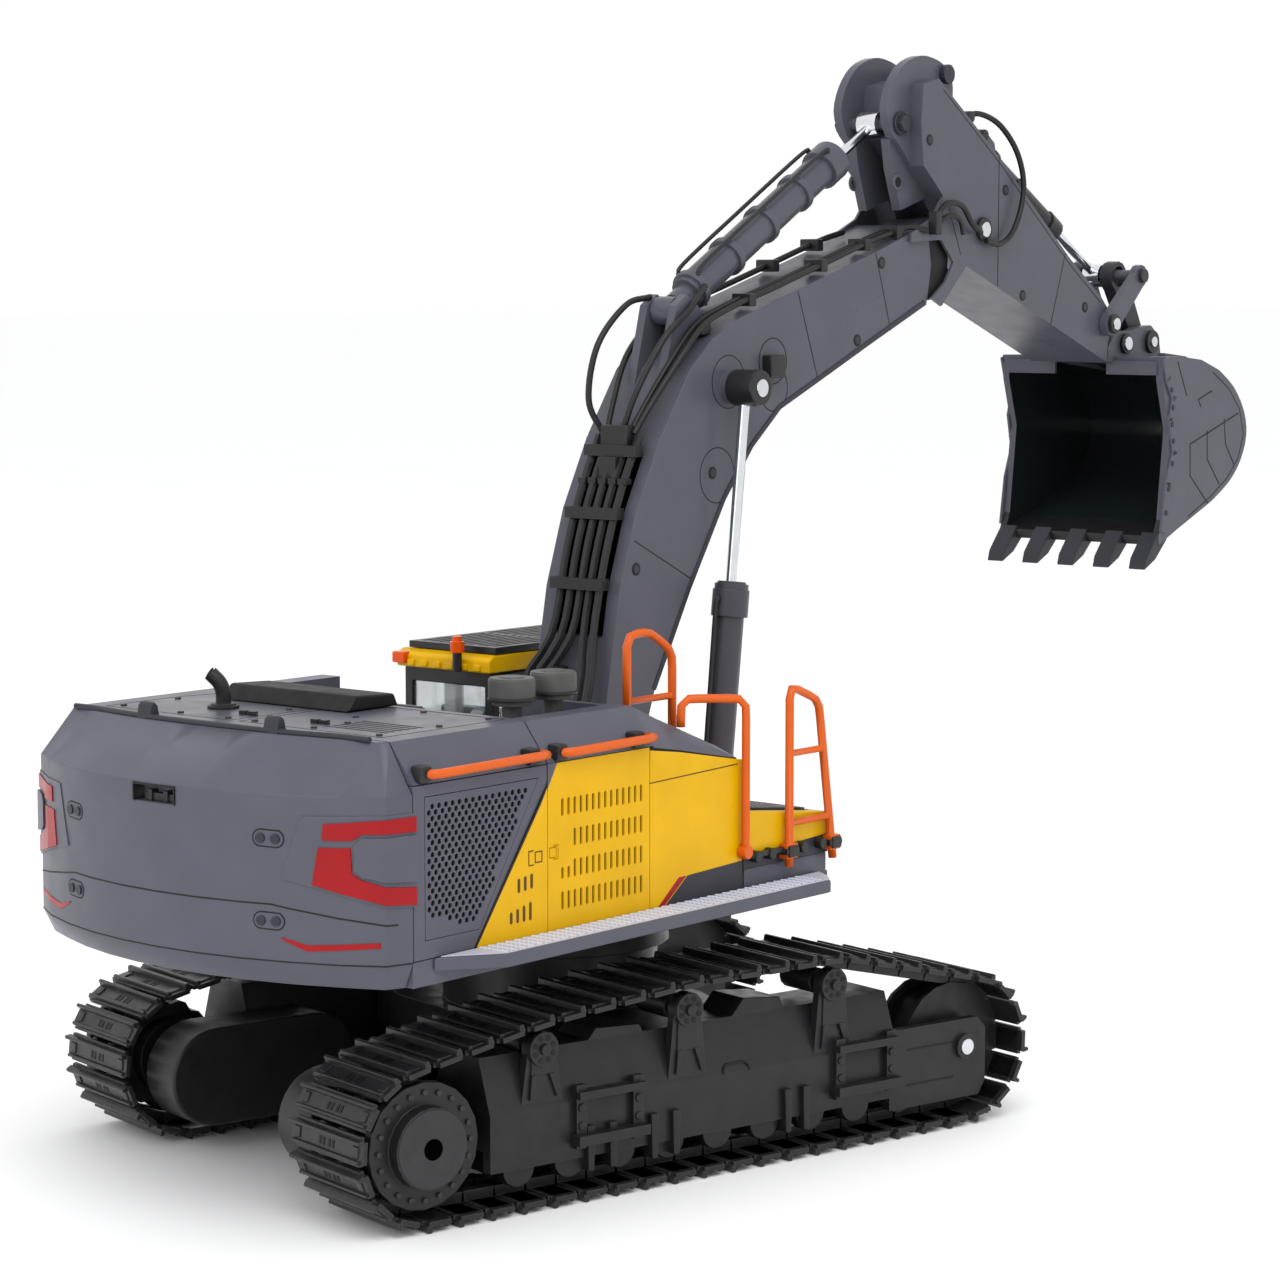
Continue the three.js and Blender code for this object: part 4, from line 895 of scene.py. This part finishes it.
def cab_roof_details():
    lips = Shape()
    for k in range(6):
        lips.block(36 + k * 6.4, 39 + k * 6.4, 2.9, 4.6, 157, 159.2)
        lips.block(76.8, 78.2, 12 + k * 11.4, 16 + k * 11.4, 157, 159.2)
    lips.make("roof_bumps", YELLOW, bevel=0.4)
    lamp = Shape().block(71.5, 77.6, 1.8, 6.6, 157.6, 161.8)
    lamp.make("roof_lamps", ORANGE_LAMP, bevel=0.7)
    stem = Shape().post(45, 1.5, 1.7, 156.6, 163.9, 16)
    stem.make("beacon_stem", BLACK)
    work_lights = Shape()
    lenses = Shape()
    for x in (39, 68):
        work_lights.block(x - 3.4, x + 3.4, 78.8, 82, 157, 161.4)
        lenses.block(x - 2.7, x + 2.7, 81.8, 82.4, 157.7, 160.7)
    work_lights.make("work_lights", BLACK, bevel=0.5)
    lenses.make("work_light_lenses", GLASS, bevel=0)


def cab_wall_details():
    pillars = Shape()
    pillars.side([(33, 92), (36, 92), (36, 155), (33, 155)], 75.8, 76.7)
    pillars.side([(8, 124.6), (78, 113.6), (78, 115), (8, 126)], 75.8, 76.6)
    pillars.block(75.8, 78.4, 38, 44, 116.5, 118)
    pillars.make("cab_door_frame", DARK_GREY, bevel=0.3)
    rest = Shape().block(50, 59, 9.6, 10.8, 128, 152).block(36, 60, 9.6, 10.8, 128, 139)
    rest.disc((10.2, 139), 4, 38, 44)
    rest.make("cab_headrest", SEAT_GREY, bevel=0.6)
    wiper = Shape().tube([(54, 87.6, 113), (60, 84.8, 132), (63, 81.6, 141)], 0.45)
    wiper.make("wiper", BLACK, bevel=0)


# ---------------------------------------------------------------- screws and pins

def sunk_screws(body, side, word, centres, radius, wall, well_top):
    """Screw heads that stand in dark wells on a flat side; the wells' darkness is painted shade."""
    wells = Shape()
    screws = Shape()
    for centre in centres:
        wells.disc(centre, radius, side * wall, side * well_top, 20)
        screws.disc(centre, radius - 0.8, side * wall, side * (well_top + 0.25), 16)
    wells.make(f"{body}_screw_wells_{word}", DEEP_BLACK, body, bevel=0)
    screws.make(f"{body}_screws_{word}", DARK_GREY, body)


def pin_ends(body, side, word, pins, bevel):
    """Bright pin ends in dark collars, each given by centre, radius, collar width and place out."""
    collars = Shape()
    ends = Shape()
    for centre, radius, collar, face in pins:
        collars.disc(centre, radius + collar, side * (face - 0.6), side * (face + 0.8), 24)
        ends.disc(centre, radius, side * (face - 0.6), side * (face + 1.5), 24)
    collars.make(f"{body}_pin_collars_{word}", BLACK, body, bevel=0.3)
    ends.make(f"{body}_pin_ends_{word}", PIN_STEEL, body, bevel=bevel)


# ---------------------------------------------------------------- boom

HOSE_RADIUS = 1.15
BOOM_WALL = 16.5
BOOM_SEAMS = ([(121.4, 291.6), (134.2, 258.6)], [(170.6, 306.4), (180.9, 277)], [(26, 205), (59.5, 188.8)])
BOOM_CIRCLES = (((79.5, 259.5), 9.6), ((106, 266.5), 8.4), ((106.6, 256.5), 8.4), ((73, 226), 10))
BOOM_SCREWS = ((70.2, 227), (26.8, 195), (158.9, 273.4), (174.5, 302.6), (22, 150))
BOOM_UNDERSIDE = [
    (36.9, 152.1), (56.6, 186.3), (77, 217.7), (93.3, 236.1), (110.2, 249.6), (135.1, 259.7),
    (167.2, 272.8), (203, 287.4),
]
BOOM_NOSE = [
    (204, 288), (211, 288.6), (217, 293), (220.5, 299), (221, 305), (218, 310.5), (211, 314), (204, 315.5),
]
PIPE_SHADOW = [
    (14.2, 172), (17.3, 188.4), (26.3, 215), (36.4, 234),
    (37.6, 234), (27.6, 215), (18.6, 188.4), (15.5, 172),
]
CLAMP_STATIONS = ((96, 286.6), (140, 299.2), (168, 307.2))
LONG_HOSES = ((-14, 0), (-10.6, 0.3), (11, 0))


def boom():
    shell("boom", BOOM_GREY, 0.7)
    shell("boom_pipes", BLACK, 0.35)
    for side, word in SIDES:
        boom_side(side, word)
    # The boom's rounded nose inside the arm's cheeks, in deep black as painted shade where it sits in
    # shadow.
    nose = Shape().side(BOOM_NOSE, -16.2, 16.2)
    nose.make("boom_nose_painted_shade", DEEP_BLACK, "boom", bevel=0.6)
    # A flat black strip behind the boom's pipes: painted shadow in the gaps between them.
    backing = Shape().side(PIPE_SHADOW, -11.6, 9)
    backing.make("pipe_painted_shadow", PAINTED_SHADE_BLACK, "boom", bevel=0)
    grommet = Shape().post(3, 8.5, 3.2, 158, 161)
    grommet.make("boom_grommet", DEEP_BLACK, "boom", bevel=0.5)
    hose_fittings()
    boom_hoses()


def boom_side(side, word):
    wall = (side * 16, side * 18)
    lines = Shape()
    for seam in BOOM_SEAMS:
        lines.side_line(seam, 0.45, *wall)
    for centre, radius in BOOM_CIRCLES:
        ring = ring_points(centre, radius, 28)
        lines.side_line([*ring, ring[0]], 0.4, *wall)
    inlay(f"boom_lines_{word}", "boom", lines, DEEP_BLACK, 0.05)
    sunk_screws("boom", side, word, BOOM_SCREWS, 2.3, BOOM_WALL, 17.1)
    boss = Shape().block(side * BOOM_WALL, side * 21.2, 99.6, 108.8, 260.4, 268.8)
    boss.make(f"boom_boss_{word}", BLACK, "boom", bevel=0.8)
    rim = Shape().side_line(BOOM_UNDERSIDE, 2, side * 16.4, side * 17.5)
    rim.make(f"boom_rim_{word}", DARK_GREY, "boom", bevel=0.3)
    plate = Shape().disc((13, 112), 9.5, side * BOOM_WALL, side * 17.55)
    plate.make(f"boom_foot_plate_{word}", BOOM_GREY, "boom", bevel=0.4)


def hose_fittings():
    fittings = Shape().block(-8.5, 3.5, 31.8, 36.6, 236, 245)
    fittings.block(-6, 2, 28.6, 33.4, 226, 234)
    for x in (-10.4, -6, -1.4, 3.2, 7.8):
        fittings.block(x - 1.8, x + 1.8, 26.4, 30.4, 224.2, 226.6)
    for forward, up in CLAMP_STATIONS:
        fittings.block(-15.6, -7, forward - 2, forward + 2, up, up + 4.6)
        fittings.block(7, 15.6, forward - 2, forward + 2, up, up + 4.6)
    fittings.block(-16.4, -7, 186, 191, 308, 317)
    fittings.block(-13.5, 13.5, 68.5, 73.5, 276.4, 279.8)
    fittings.make("hose_fittings", BLACK, "boom", bevel=0.5)


def boom_hoses():
    hoses = Shape()
    for x, lift in LONG_HOSES:
        start = [(x * 0.5 - 2, 35.4, 242), (x * 0.7 - 1, 42.5, 252 + lift)]
        rest = ((55, 268), (68, 279.5), (84, 286), (110, 293.2), (140, 301.8), (172, 311), (188, 314.6))
        hoses.tube([*start, *((x, forward, up + lift) for forward, up in rest)], HOSE_RADIUS)
    hoses.tube([(6, 36, 242), (9, 32, 254), (9, 37, 273), (7.6, 51, 287), (6, 63, 290)], HOSE_RADIUS)
    hoses.tube([(-3, 36, 242), (-6, 40, 256), (-9, 52, 275), (-10, 66, 286), (-7.4, 78, 294)], HOSE_RADIUS)
    hoses.tube([(-14, 188, 314.6), (-17, 194, 316.5), (-19.8, 201, 315)], HOSE_RADIUS)
    hoses.make("boom_hoses", RUBBER, "boom", bevel=0)


# ---------------------------------------------------------------- arm

ARM_SEAMS = ([(252.6, 345), (252.4, 294)], [(302.4, 307), (291.2, 276)], [(226, 306), (216, 327)])
ARM_EDGE = [(213, 369.5), (255, 341), (279, 322.6), (306, 302.6), (330, 287)]
ARM_SCREWS = ((203.8, 349.9), (257.4, 331.8), (270.7, 290), (318, 285))
ARM_WALL = 18
ARM_PINS = (((241, 316), 3.1, 1.8, 19.4), ((333, 278), 2.6, 1.4, 24))
EAR_PIN = (192, 356)
HINGE_EYE = (194.1, 333.7)
LOOP_HOSE = [
    (-12, 237, 360.5), (-14, 246, 361.5), (-17, 256, 357), (-20.6, 263, 346),
    (-21.6, 266, 332), (-21.6, 260, 317), (-21.4, 250, 310.5), (-21.2, 240, 311.6),
]
CHEEK_HOSE = [
    (-20.4, 205.5, 320), (-21, 213, 325.6), (-21.6, 222, 325), (-21.6, 229, 318.5), (-21.4, 236, 314.6),
]


def arm():
    shell("arm", BOOM_GREY, 0.7)
    for side, word in SIDES:
        arm_side(side, word)
    clamps = Shape()
    for forward, up in ((236, 356.4), (246, 349.6), (272, 331)):
        clamps.block(-15, -5, forward - 2.4, forward + 2.4, up - 3, up + 4.2)
        clamps.disc((forward + 1, up + 3.6), 2.4, -16, -11, 14)
    clamps.make("arm_clamps", BLACK, "arm", bevel=0.6)
    arm_hoses()
    cheek = Shape().block(-22.4, -18.5, 203.5, 207.5, 313.6, 322.6)
    cheek.make("arm_hose_clamp", BLACK, "arm", bevel=0.5)


def arm_side(side, word):
    wall = (side * 18.1, side * 19.2)
    lines = Shape()
    for seam in ARM_SEAMS:
        lines.side_line(seam, 0.45, *wall)
    lines.side_line(ARM_EDGE, 0.4, *wall)
    inlay(f"arm_lines_{word}", "arm", lines, DEEP_BLACK, 0.05)
    sunk_screws("arm", side, word, ARM_SCREWS, 2.2, ARM_WALL, 18.7)
    pin_ends("arm", side, word, ARM_PINS, 0.5)
    nuts = Shape().disc(EAR_PIN, 4.6, side * 12.6, side * 14)
    nuts.disc(EAR_PIN, 3.4, side * 13.8, side * 16, 6)
    nuts.disc((222, 376), 3.8, side * 12.6, side * 15.4, 24)
    nuts.make(f"arm_ear_nuts_{word}", DARK_GREY, "arm", bevel=0.4)
    eye = Shape().disc(HINGE_EYE, 3.2, side * 9.8, side * 10.7, 24)
    eye.make(f"arm_hinge_eye_{word}", BOOM_GREY, "arm", bevel=0.3)
    # The hole in the eye is a flat dark disc: painted shade.
    hole = Shape().disc(HINGE_EYE, 1.9, side * 9.8, side * 10.85, 20)
    hole.make(f"arm_hinge_hole_{word}", DEEP_BLACK, "arm", bevel=0)


def arm_hoses():
    hoses = Shape()
    hoses.tube(LOOP_HOSE, HOSE_RADIUS)
    hoses.tube([(-10, 246, 353), (-10, 256, 349.6), (-10, 270, 336)], HOSE_RADIUS)
    hoses.tube([(-7, 236, 359), (-7, 252, 350.6), (-7, 272, 334.6)], HOSE_RADIUS)
    hoses.tube(CHEEK_HOSE, HOSE_RADIUS)
    hoses.tube([(-20.4, 206, 316.4), (-21, 213, 320.8), (-21.4, 220.6, 319.6), (-21, 224, 314)], 0.9)
    hoses.make("arm_hoses", RUBBER, "arm", bevel=0)


# ---------------------------------------------------------------- cylinders

BOOM_PIN = (80, 257.5)


class Axis:
    """A cylinder's line from its foot, for what sits on the barrel."""

    def __init__(self, x, foot, degrees):
        self.x = x
        self.foot = Vector(foot)
        self.ahead = Vector((math.cos(math.radians(degrees)), math.sin(math.radians(degrees))))
        self.lift = Vector((-self.ahead.y, self.ahead.x))

    def on(self, distance, lift=0.0):
        return self.foot + self.ahead * distance + self.lift * lift

    def band(self, shape, start, length, radius, sides=32):
        """A short round ring on the barrel."""
        over = at(0, *self.lift)
        ends = [at(self.x, *self.on(distance)) for distance in (start, start + length)]
        shape.skin(*(circle(end, Vector((1, 0, 0)), over, radius, sides) for end in ends))

    def pipe(self, shape, x, places, radius):
        """A thin pipe through (distance, lift) places."""
        shape.tube([(x, *self.on(*place)) for place in places], radius)


def boom_cylinder(side, word):
    barrel = f"boom_cylinder_{word}"
    shell(barrel, CYLINDER_GREY, 0.5)
    shell(f"boom_rod_{word}", CHROME, 0.4)
    axis = Axis(side * 24.5, (60.5, 92), 83.1)
    trim = Shape()
    axis.band(trim, 95.2, 1.6, 5.2)
    axis.band(trim, 84, 10, 6.7)
    axis.band(trim, 12, 3, 6.2)
    trim.make(f"boom_cylinder_trim_{word}", CYLINDER_GREY, barrel, bevel=0.4)
    pipe = Shape()
    axis.pipe(pipe, axis.x, ((90, 6.4), (88, 8.2), (60, 8), (20, 7.4), (15, 6)), 0.9)
    pipe.make(f"boom_cylinder_pipe_{word}", BLACK, barrel, bevel=0)
    cap = Shape().disc(BOOM_PIN, 6.6, side * 19.6, side * 31.8, 32)
    cap.make(f"boom_pin_cap_{word}", BLACK, "boom", bevel=1)
    screw = Shape().disc(BOOM_PIN, 3.3, side * 31.4, side * 32.5, 24)
    screw.make(f"boom_pin_screw_{word}", PIN_STEEL, "boom", bevel=0.4)


def arm_cylinder():
    shell("arm_cylinder", BOOM_GREY, 0.5)
    shell("arm_rod", CHROME, 0.4)
    axis = Axis(0, (66, 285), 29.8)
    ribs = Shape()
    for start in (14, 38, 62, 86):
        axis.band(ribs, start, 3.2, 7.5)
    axis.band(ribs, 105, 9.4, 7.9)
    ribs.make("arm_cylinder_ribs", BOOM_GREY, "arm_cylinder", bevel=0.5)
    pipes = Shape()
    for x in (-4.6, 4.6):
        axis.pipe(pipes, x, ((108, 6), (104, 8), (60, 8), (22, 7.6), (16, 5.6)), 0.8)
    pipes.make("arm_cylinder_pipes", BLACK, "arm_cylinder", bevel=0)


def bucket_cylinder():
    shell("bucket_cylinder", BLACK, 0.5)
    shell("bucket_rod", CHROME, 0.4)
    axis = Axis(0, (262, 350), -29.6)
    ribs = Shape()
    for start in (5, 11):
        axis.band(ribs, start, 2.6, 5.5)
    ribs.make("bucket_cylinder_ribs", BLACK, "bucket_cylinder", bevel=0.4)


def cylinders():
    for side, word in SIDES:
        boom_cylinder(side, word)
    arm_cylinder()
    bucket_cylinder()


# ---------------------------------------------------------------- bucket

BUCKET_HEART = at(0, 372, 232)
CHEVRONS = (
    [(410, 239), (369.6, 227.1), (370, 213.7), (385, 201.4)],
    [(398, 237), (399.6, 226), (407.6, 216.4)],
    [(383.7, 232.3), (384.1, 220.3), (394.6, 209)],
)
SIDE_MARKS = ([(358.4, 262), (366.1, 247.7)], [(387.2, 249.2), (375.8, 245.8), (378, 242.8)])
BUCKET_RIM = [
    (388, 257), (401.6, 249.8), (411, 241), (415, 229.8), (410.6, 219.6), (401.4, 211.4), (387.4, 204),
    (368.7, 196.4),
]
BUCKET_BACK = [
    (361, 264.8), (378, 263.2), (393.2, 258.6), (406.4, 250.8), (415.6, 240.2), (418.2, 229.6),
    (413.3, 218.2), (403.4, 209.1), (388.7, 201.5),
]
CUTTER_EDGE = [
    (347.2, 262.6), (349.6, 255), (354.8, 247), (352.6, 238), (355.6, 224), (350.6, 211), (347.6, 192),
]
CUTTER_BOLTS = (
    (352, 250.4), (353.4, 243), (352.8, 236), (354, 229), (353.6, 219.6), (350.8, 209), (349, 199),
)
BUCKET_PINS = (((354, 269.5), 3, 1.3, 17), ((375, 270), 2.3, 2.6, 17))
TOOTH_CAP = [(352.6, 188), (345.4, 191), (336, 180.4), (334.6, 175.8), (343, 179.6)]
TOOTH_PITCH = 17.6


def bucket():
    line_bucket(shell("bucket", BOOM_GREY, 0.5))
    for side, word in SIDES:
        bucket_side(side, word)
    strips = Shape()
    for x in (-30, -10, 10, 30):
        strips.side_line(BUCKET_BACK, 1.6, x - 1.8, x + 1.8)
    strips.make("bucket_wear_strips", BOOM_GREY, "bucket", bevel=0.3)
    tips = Shape()
    for x in (k * TOOTH_PITCH for k in range(-2, 3)):
        tips.side(TOOTH_CAP, x - 4.1, x + 4.1)
    tips.make("bucket_tooth_caps", DARK_GREY, "bucket", bevel=0.5)
    shell("rocker", BOOM_GREY, 0.5)
    shell("bucket_link", DARK_GREY, 0.5)
    knobs = Shape()
    for side, _ in SIDES:
        knobs.disc((356, 298), 3, side * 22.6, side * 24.6, 20)
    knobs.make("rocker_pin_ends", DARK_GREY, "rocker", bevel=0.4)


def line_bucket(piece):
    """Blackens the faces that look into the bucket, and those of the digging lip."""
    piece.data.materials.append(BUCKET_BLACK)
    piece.data.materials.append(BLACK)
    heart = UPPER @ (BUCKET_HEART * MM)
    inverse = UPPER.inverted()
    for face in piece.data.polygons:
        place = inverse @ face.center / MM
        inward = (heart - face.center).dot(face.normal) > 0
        within = abs(place.x) < 37 and -418 < place.y < -344.5 and place.z < 262
        if place.z < 191.5 and place.y > -353:
            face.material_index = 2
        elif inward and within:
            face.material_index = 1


def bucket_side(side, word):
    wall = (side * 39.2, side * 40.1)
    grooves = Shape()
    for line in (*CHEVRONS, *SIDE_MARKS):
        grooves.side_line(line, 0.7, *wall)
    grooves.side_line(BUCKET_RIM, 0.5, *wall)
    inlay(f"bucket_grooves_{word}", "bucket", grooves, DEEP_BLACK, 0.06)
    cutter = Shape().side_line(CUTTER_EDGE, 4.4, side * 39.3, side * 40.5)
    cutter.make(f"bucket_cutter_{word}", BOOM_GREY, "bucket", bevel=0.3)
    heads = Shape()
    for centre in CUTTER_BOLTS:
        heads.disc(centre, 1.1, side * 39.4, side * 41, 12)
    heads.make(f"bucket_bolts_{word}", DARK_GREY, "bucket")
    pin_ends("bucket", side, word, BUCKET_PINS, 0.4)
    lip = Shape().block(side * 12.6, side * 37, 344.9, 346.4, 256.6, 262.6)
    lip.make(f"bucket_lip_{word}", BOOM_GREY, "bucket", bevel=0.3)


# ---------------------------------------------------------------- crawler

IDLER = (115, 27.3)
SPROCKET = (-115, 27.3)
BELT_RADIUS = 27.3
CARRIERS = ((54, 57), (-8.8, 56.5), (-68, 51.4))
CARRIER_WRAP = 12.2
SHOES = 52
SHOE_DEPTH = 3.8
TRACK_CENTRE = 74.3
ROLLER_PITCH = 20.3


def belt():
    """The chain's outer face as arcs and lines; returns its length and a function of distance."""
    carriers = [(*place, CARRIER_WRAP) for place in CARRIERS]
    wheels = [(*IDLER, BELT_RADIUS), *carriers, (*SPROCKET, BELT_RADIUS)]
    pairs = list(zip(wheels, [*wheels[1:], wheels[0]]))
    leaving = []
    for (fa, ua, ra), (fb, ub, rb) in pairs:
        run = math.hypot(fb - fa, ub - ua)
        leaving.append(math.atan2(ub - ua, fb - fa) - math.pi / 2 + math.asin((ra - rb) / run))
    parts = []
    for i, ((*first, radius), (*second, next_radius)) in enumerate(pairs):
        arriving = leaving[i - 1]
        sweep = (leaving[i] - arriving) % (2 * math.pi)
        parts.append(("arc", Vector(first), radius, arriving, radius * sweep))
        out = Vector((math.cos(leaving[i]), math.sin(leaving[i])))
        start, end = Vector(first) + out * radius, Vector(second) + out * next_radius
        parts.append(("line", start, end, None, (end - start).length))
    total = sum(part[-1] for part in parts)

    def point(distance, depth):
        distance %= total
        for part in parts:
            if distance <= part[-1]:
                break
            distance -= part[-1]
        if part[0] == "arc":
            _, centre, radius, arriving, _ = part
            angle = arriving + distance / radius
            return centre + Vector((math.cos(angle), math.sin(angle))) * (radius - depth)
        _, start, end, _, length = part
        heading = (end - start) / length
        return start + heading * distance + Vector((-heading.y, heading.x)) * depth

    return total, point


def shoe(plates, marks, start, end, middle):
    """One track shoe, from the inner face's two ends, with the track's middle at x."""
    length = (end - start).length
    heading = (end - start) / length
    inward = Vector((-heading.y, heading.x))
    origin = start - inward * SHOE_DEPTH

    def box(shape, s0, s1, d0, d1, w0, w1, taper=0.0):
        """Shares along the shoe, depths below its top and places across the track."""
        s0, s1 = s0 * length, s1 * length
        corners = ((s0 + taper, d0), (s1 - taper, d0), (s1, d1), (s0, d1))
        shape.side([origin + heading * s + inward * d for s, d in corners], middle + w0, middle + w1)

    box(plates, 0.14, 0.9, 2.0, 3.8, -20.7, 20.7)
    box(plates, 0, 1, 2.2, 3.8, -18.6, 18.6)
    box(plates, 0.08, 0.3, 0, 2.4, -20.4, 20.4, 0.5)
    box(plates, 0.74, 0.92, 0.9, 2.4, -19.4, 19.4, 0.4)
    for w in (-18.4, 15.2):
        box(plates, 0.3, 0.74, 1.5, 2.4, w, w + 3.2, 0.4)
    for w in (-7.2, 3.6):
        box(plates, -0.06, 1, 3.6, 7.2, w, w + 3.6, 0.4)
    box(plates, 0.3, 0.62, 3.6, 6.2, -3.7, 3.7)
    # The shoe's small slots are thin dark marks: painted shade.
    for w in (-4.4, -2.2, 0.9, 3.1):
        box(marks, 0.4, 0.66, 1.86, 2.1, w, w + 1.2)


def track_shoes(side, word):
    total, point = belt()
    pitch = total / SHOES
    plates = Shape()
    marks = Shape()
    for i in range(SHOES):
        start = point((i - 0.02) * pitch, SHOE_DEPTH)
        end = point((i + 0.9) * pitch, SHOE_DEPTH)
        shoe(plates, marks, start, end, side * TRACK_CENTRE)
    plates.make(f"track_shoes_{word}", TRACK_BLACK, "undercarriage", 0.28, (f"track_chain_{word}",))
    marks.make(f"track_shoe_slots_{word}", DEEP_BLACK, "undercarriage", 0)


def outwards(side):
    """Turns two distances out from the track's middle into a range of x."""
    return lambda near, far: (side * (TRACK_CENTRE + near), side * (TRACK_CENTRE + far))


def roller_covers(side, word):
    span = outwards(side)
    covers = Shape()
    for i in range(9):
        covers.disc((-76.5 + i * ROLLER_PITCH, 13.4), 6.2, *span(9.5, 14.2))
    for middle in (-50, -41, -24, -15, 33, 41):
        guard = [(middle - 1.2, 9), (middle + 1.2, 9), (middle + 1.6, 24), (middle - 1.6, 24)]
        covers.side(guard, *span(12, 17.6))
    covers.make(f"roller_covers_{word}", BLACK, "undercarriage", 0.5)


def carrier_brackets(side, word):
    span = outwards(side)
    heads = Shape()
    dots = Shape()
    for forward, up in CARRIERS:
        heads.disc((forward, up), 5.7, *span(14.8, 16.6))
        heads.disc((forward, up), 1.9, *span(16.4, 17.8), 18)
        stem = [(forward - 4.2, up - 2), (forward + 4.2, up - 2), (forward + 4.6, 43), (forward - 4.6, 43)]
        heads.side(stem, *span(14.6, 15.7))
        for lean in (-1, 1):
            leg = [(forward + lean * 2.2, 43.4), (forward + lean * 4.6, 43.4), (forward + lean * 5.4, 35)]
            heads.side(leg, *span(14.6, 16.2))
        # The bracket's holes are flat dark dots: painted shade.
        for centre in ring_points((forward, up), 3.8, 8, math.pi / 8):
            dots.disc(centre, 0.95, *span(16.4, 16.75), 12)
    heads.make(f"carrier_brackets_{word}", BLACK, "undercarriage", 0.4)
    dots.make(f"carrier_bracket_holes_{word}", DEEP_BLACK, "undercarriage", 0)


def frame_details(side, word):
    span = outwards(side)
    wedges = Shape()
    wedges.side([(14, 49), (38, 49), (36, 54), (20, 55.5)], *span(-8, 9))
    wedges.side([(-46, 49), (-22, 49), (-24, 52.6), (-42, 53.6)], *span(-8, 9))
    wedges.make(f"frame_wedges_{word}", BLACK, "undercarriage", 0.5)
    ring = capsule(12, 33, 5.6, 2.6, 20)
    oval = Shape().side_line([*ring, ring[0]], 0.7, *span(12, 15.4))
    inlay(f"frame_oval_{word}", f"track_frame_{word}", oval, DEEP_BLACK, 0.15)
    yoke = Shape()
    for up in (17, 29.5):
        yoke.side_line([(88, up), (110, up)], 0.8, *span(15, 16.2))
    inlay(f"yoke_grooves_{word}", f"track_frame_{word}", yoke, DEEP_BLACK, 0.08)
    pin = Shape().disc(IDLER, 2.9, *span(16.6, 17.6), 24)
    pin.make(f"idler_pin_end_{word}", PIN_STEEL, "undercarriage", 0.4)
    steps = Shape()
    for middle in (67.5, -42.5):
        steps.block(*span(15.5, 20.6), middle - 14.5, middle + 14.5, 18.4, 21.9)
        for end in (middle - 11.5, middle + 11.5):
            for up in (24.6, 30.6):
                steps.disc((end, up), 1.4, *span(17.2, 18.3), 12)
    steps.make(f"frame_steps_{word}", BLACK, "undercarriage", 0.4)


def sprocket(side, word):
    span = outwards(side)
    body = f"sprocket_{word}"
    shell(body, BLACK, 0.4)
    hub = Shape().disc(SPROCKET, 12.6, *span(21.8, 22.7), 40)
    hub.make(f"sprocket_hub_{word}", HUB_BLACK, body, 0.5)
    # The centre hole is a flat black disc: painted shade for the dark inside it.
    hole = Shape().disc(SPROCKET, 3.4, *span(22, 22.9), 24)
    hole.make(f"sprocket_hole_{word}", PAINTED_SHADE_BLACK, body, 0)
    bolts = Shape()
    for centre in ring_points(SPROCKET, 17.2, 20):
        bolts.disc(centre, 0.95, *span(17.2, 18.5), 8)
    bolts.make(f"sprocket_bolts_{word}", HUB_BLACK, body, 0.2)


def crawler():
    shell("centre_frame", BLACK, 0.8)
    shell("slew_ring", BLACK, 0.4)
    for side, word in SIDES:
        shell(f"track_frame_{word}", BLACK, 0.7)
        shell(f"drive_motor_{word}", BLACK, 1.2)
        shell(f"idler_{word}", BLACK, 0.4)
        for number in (1, 2, 3):
            shell(f"carrier_roller_{word}_{number}", BLACK, 0.4)
        track_shoes(side, word)
        roller_covers(side, word)
        carrier_brackets(side, word)
        frame_details(side, word)
        sprocket(side, word)


counterweight()
deck()
doors()
step()
rails()
platform()
cab()
boom()
arm()
cylinders()
bucket()
crawler()


# ---------------------------------------------------------------- stage, light and camera

def stage():
    bpy.ops.mesh.primitive_plane_add(size=60, location=(0, 0, CAD_BOX[0][2] - 0.0002))
    floor = bpy.context.object
    floor.name = "floor"
    surface = Surface("floor", (0.965, 0.968, 0.972), 0.7, specular=0.1)
    surface.mottle(3, 0.998, 1.002)
    floor.data.materials.append(surface.material)


def area_light(name, location, target, size, power):
    light = bpy.data.lights.new(name, "AREA")
    light.size = size
    light.energy = power
    lamp = add(name, light)
    lamp.location = location
    lamp.rotation_euler = (Vector(target) - Vector(location)).to_track_quat("-Z", "Y").to_euler()


def lights():
    world = bpy.data.worlds.new("studio")
    world.use_nodes = True
    background = world.node_tree.nodes["Background"]
    background.inputs["Color"].default_value = (1, 1, 1, 1)
    background.inputs["Strength"].default_value = 1.02
    bpy.context.scene.world = world
    middle = (0, 0.1, 0.15)
    area_light("key", (-1.2, 0.6, 1.7), middle, 1.2, 16)
    area_light("fill", (-0.2, 1.9, 0.9), middle, 1.5, 6)


CAMERA_FROM_SLEW = Vector((-0.9597, 0.6925, 0.2950))
AZIMUTH = math.radians(232.66)
ELEVATION = math.radians(5.98)


def camera():
    data = bpy.data.cameras.new("camera")
    data.sensor_width = 36
    data.lens = 95.87
    eye = add("camera", data)
    back = Vector((
        math.sin(AZIMUTH) * math.cos(ELEVATION),
        -math.cos(AZIMUTH) * math.cos(ELEVATION),
        math.sin(ELEVATION),
    ))
    right = Vector((math.cos(AZIMUTH), math.sin(AZIMUTH), 0))
    up = back.cross(right)
    turn = Matrix((right, up, back)).transposed()
    eye.matrix_world = Matrix.Translation(SLEW_CENTRE + CAMERA_FROM_SLEW) @ turn.to_4x4()
    bpy.context.scene.camera = eye


stage()
lights()
camera()
bpy.context.scene.view_settings.view_transform = "Standard"

bpy.context.view_layer.update()
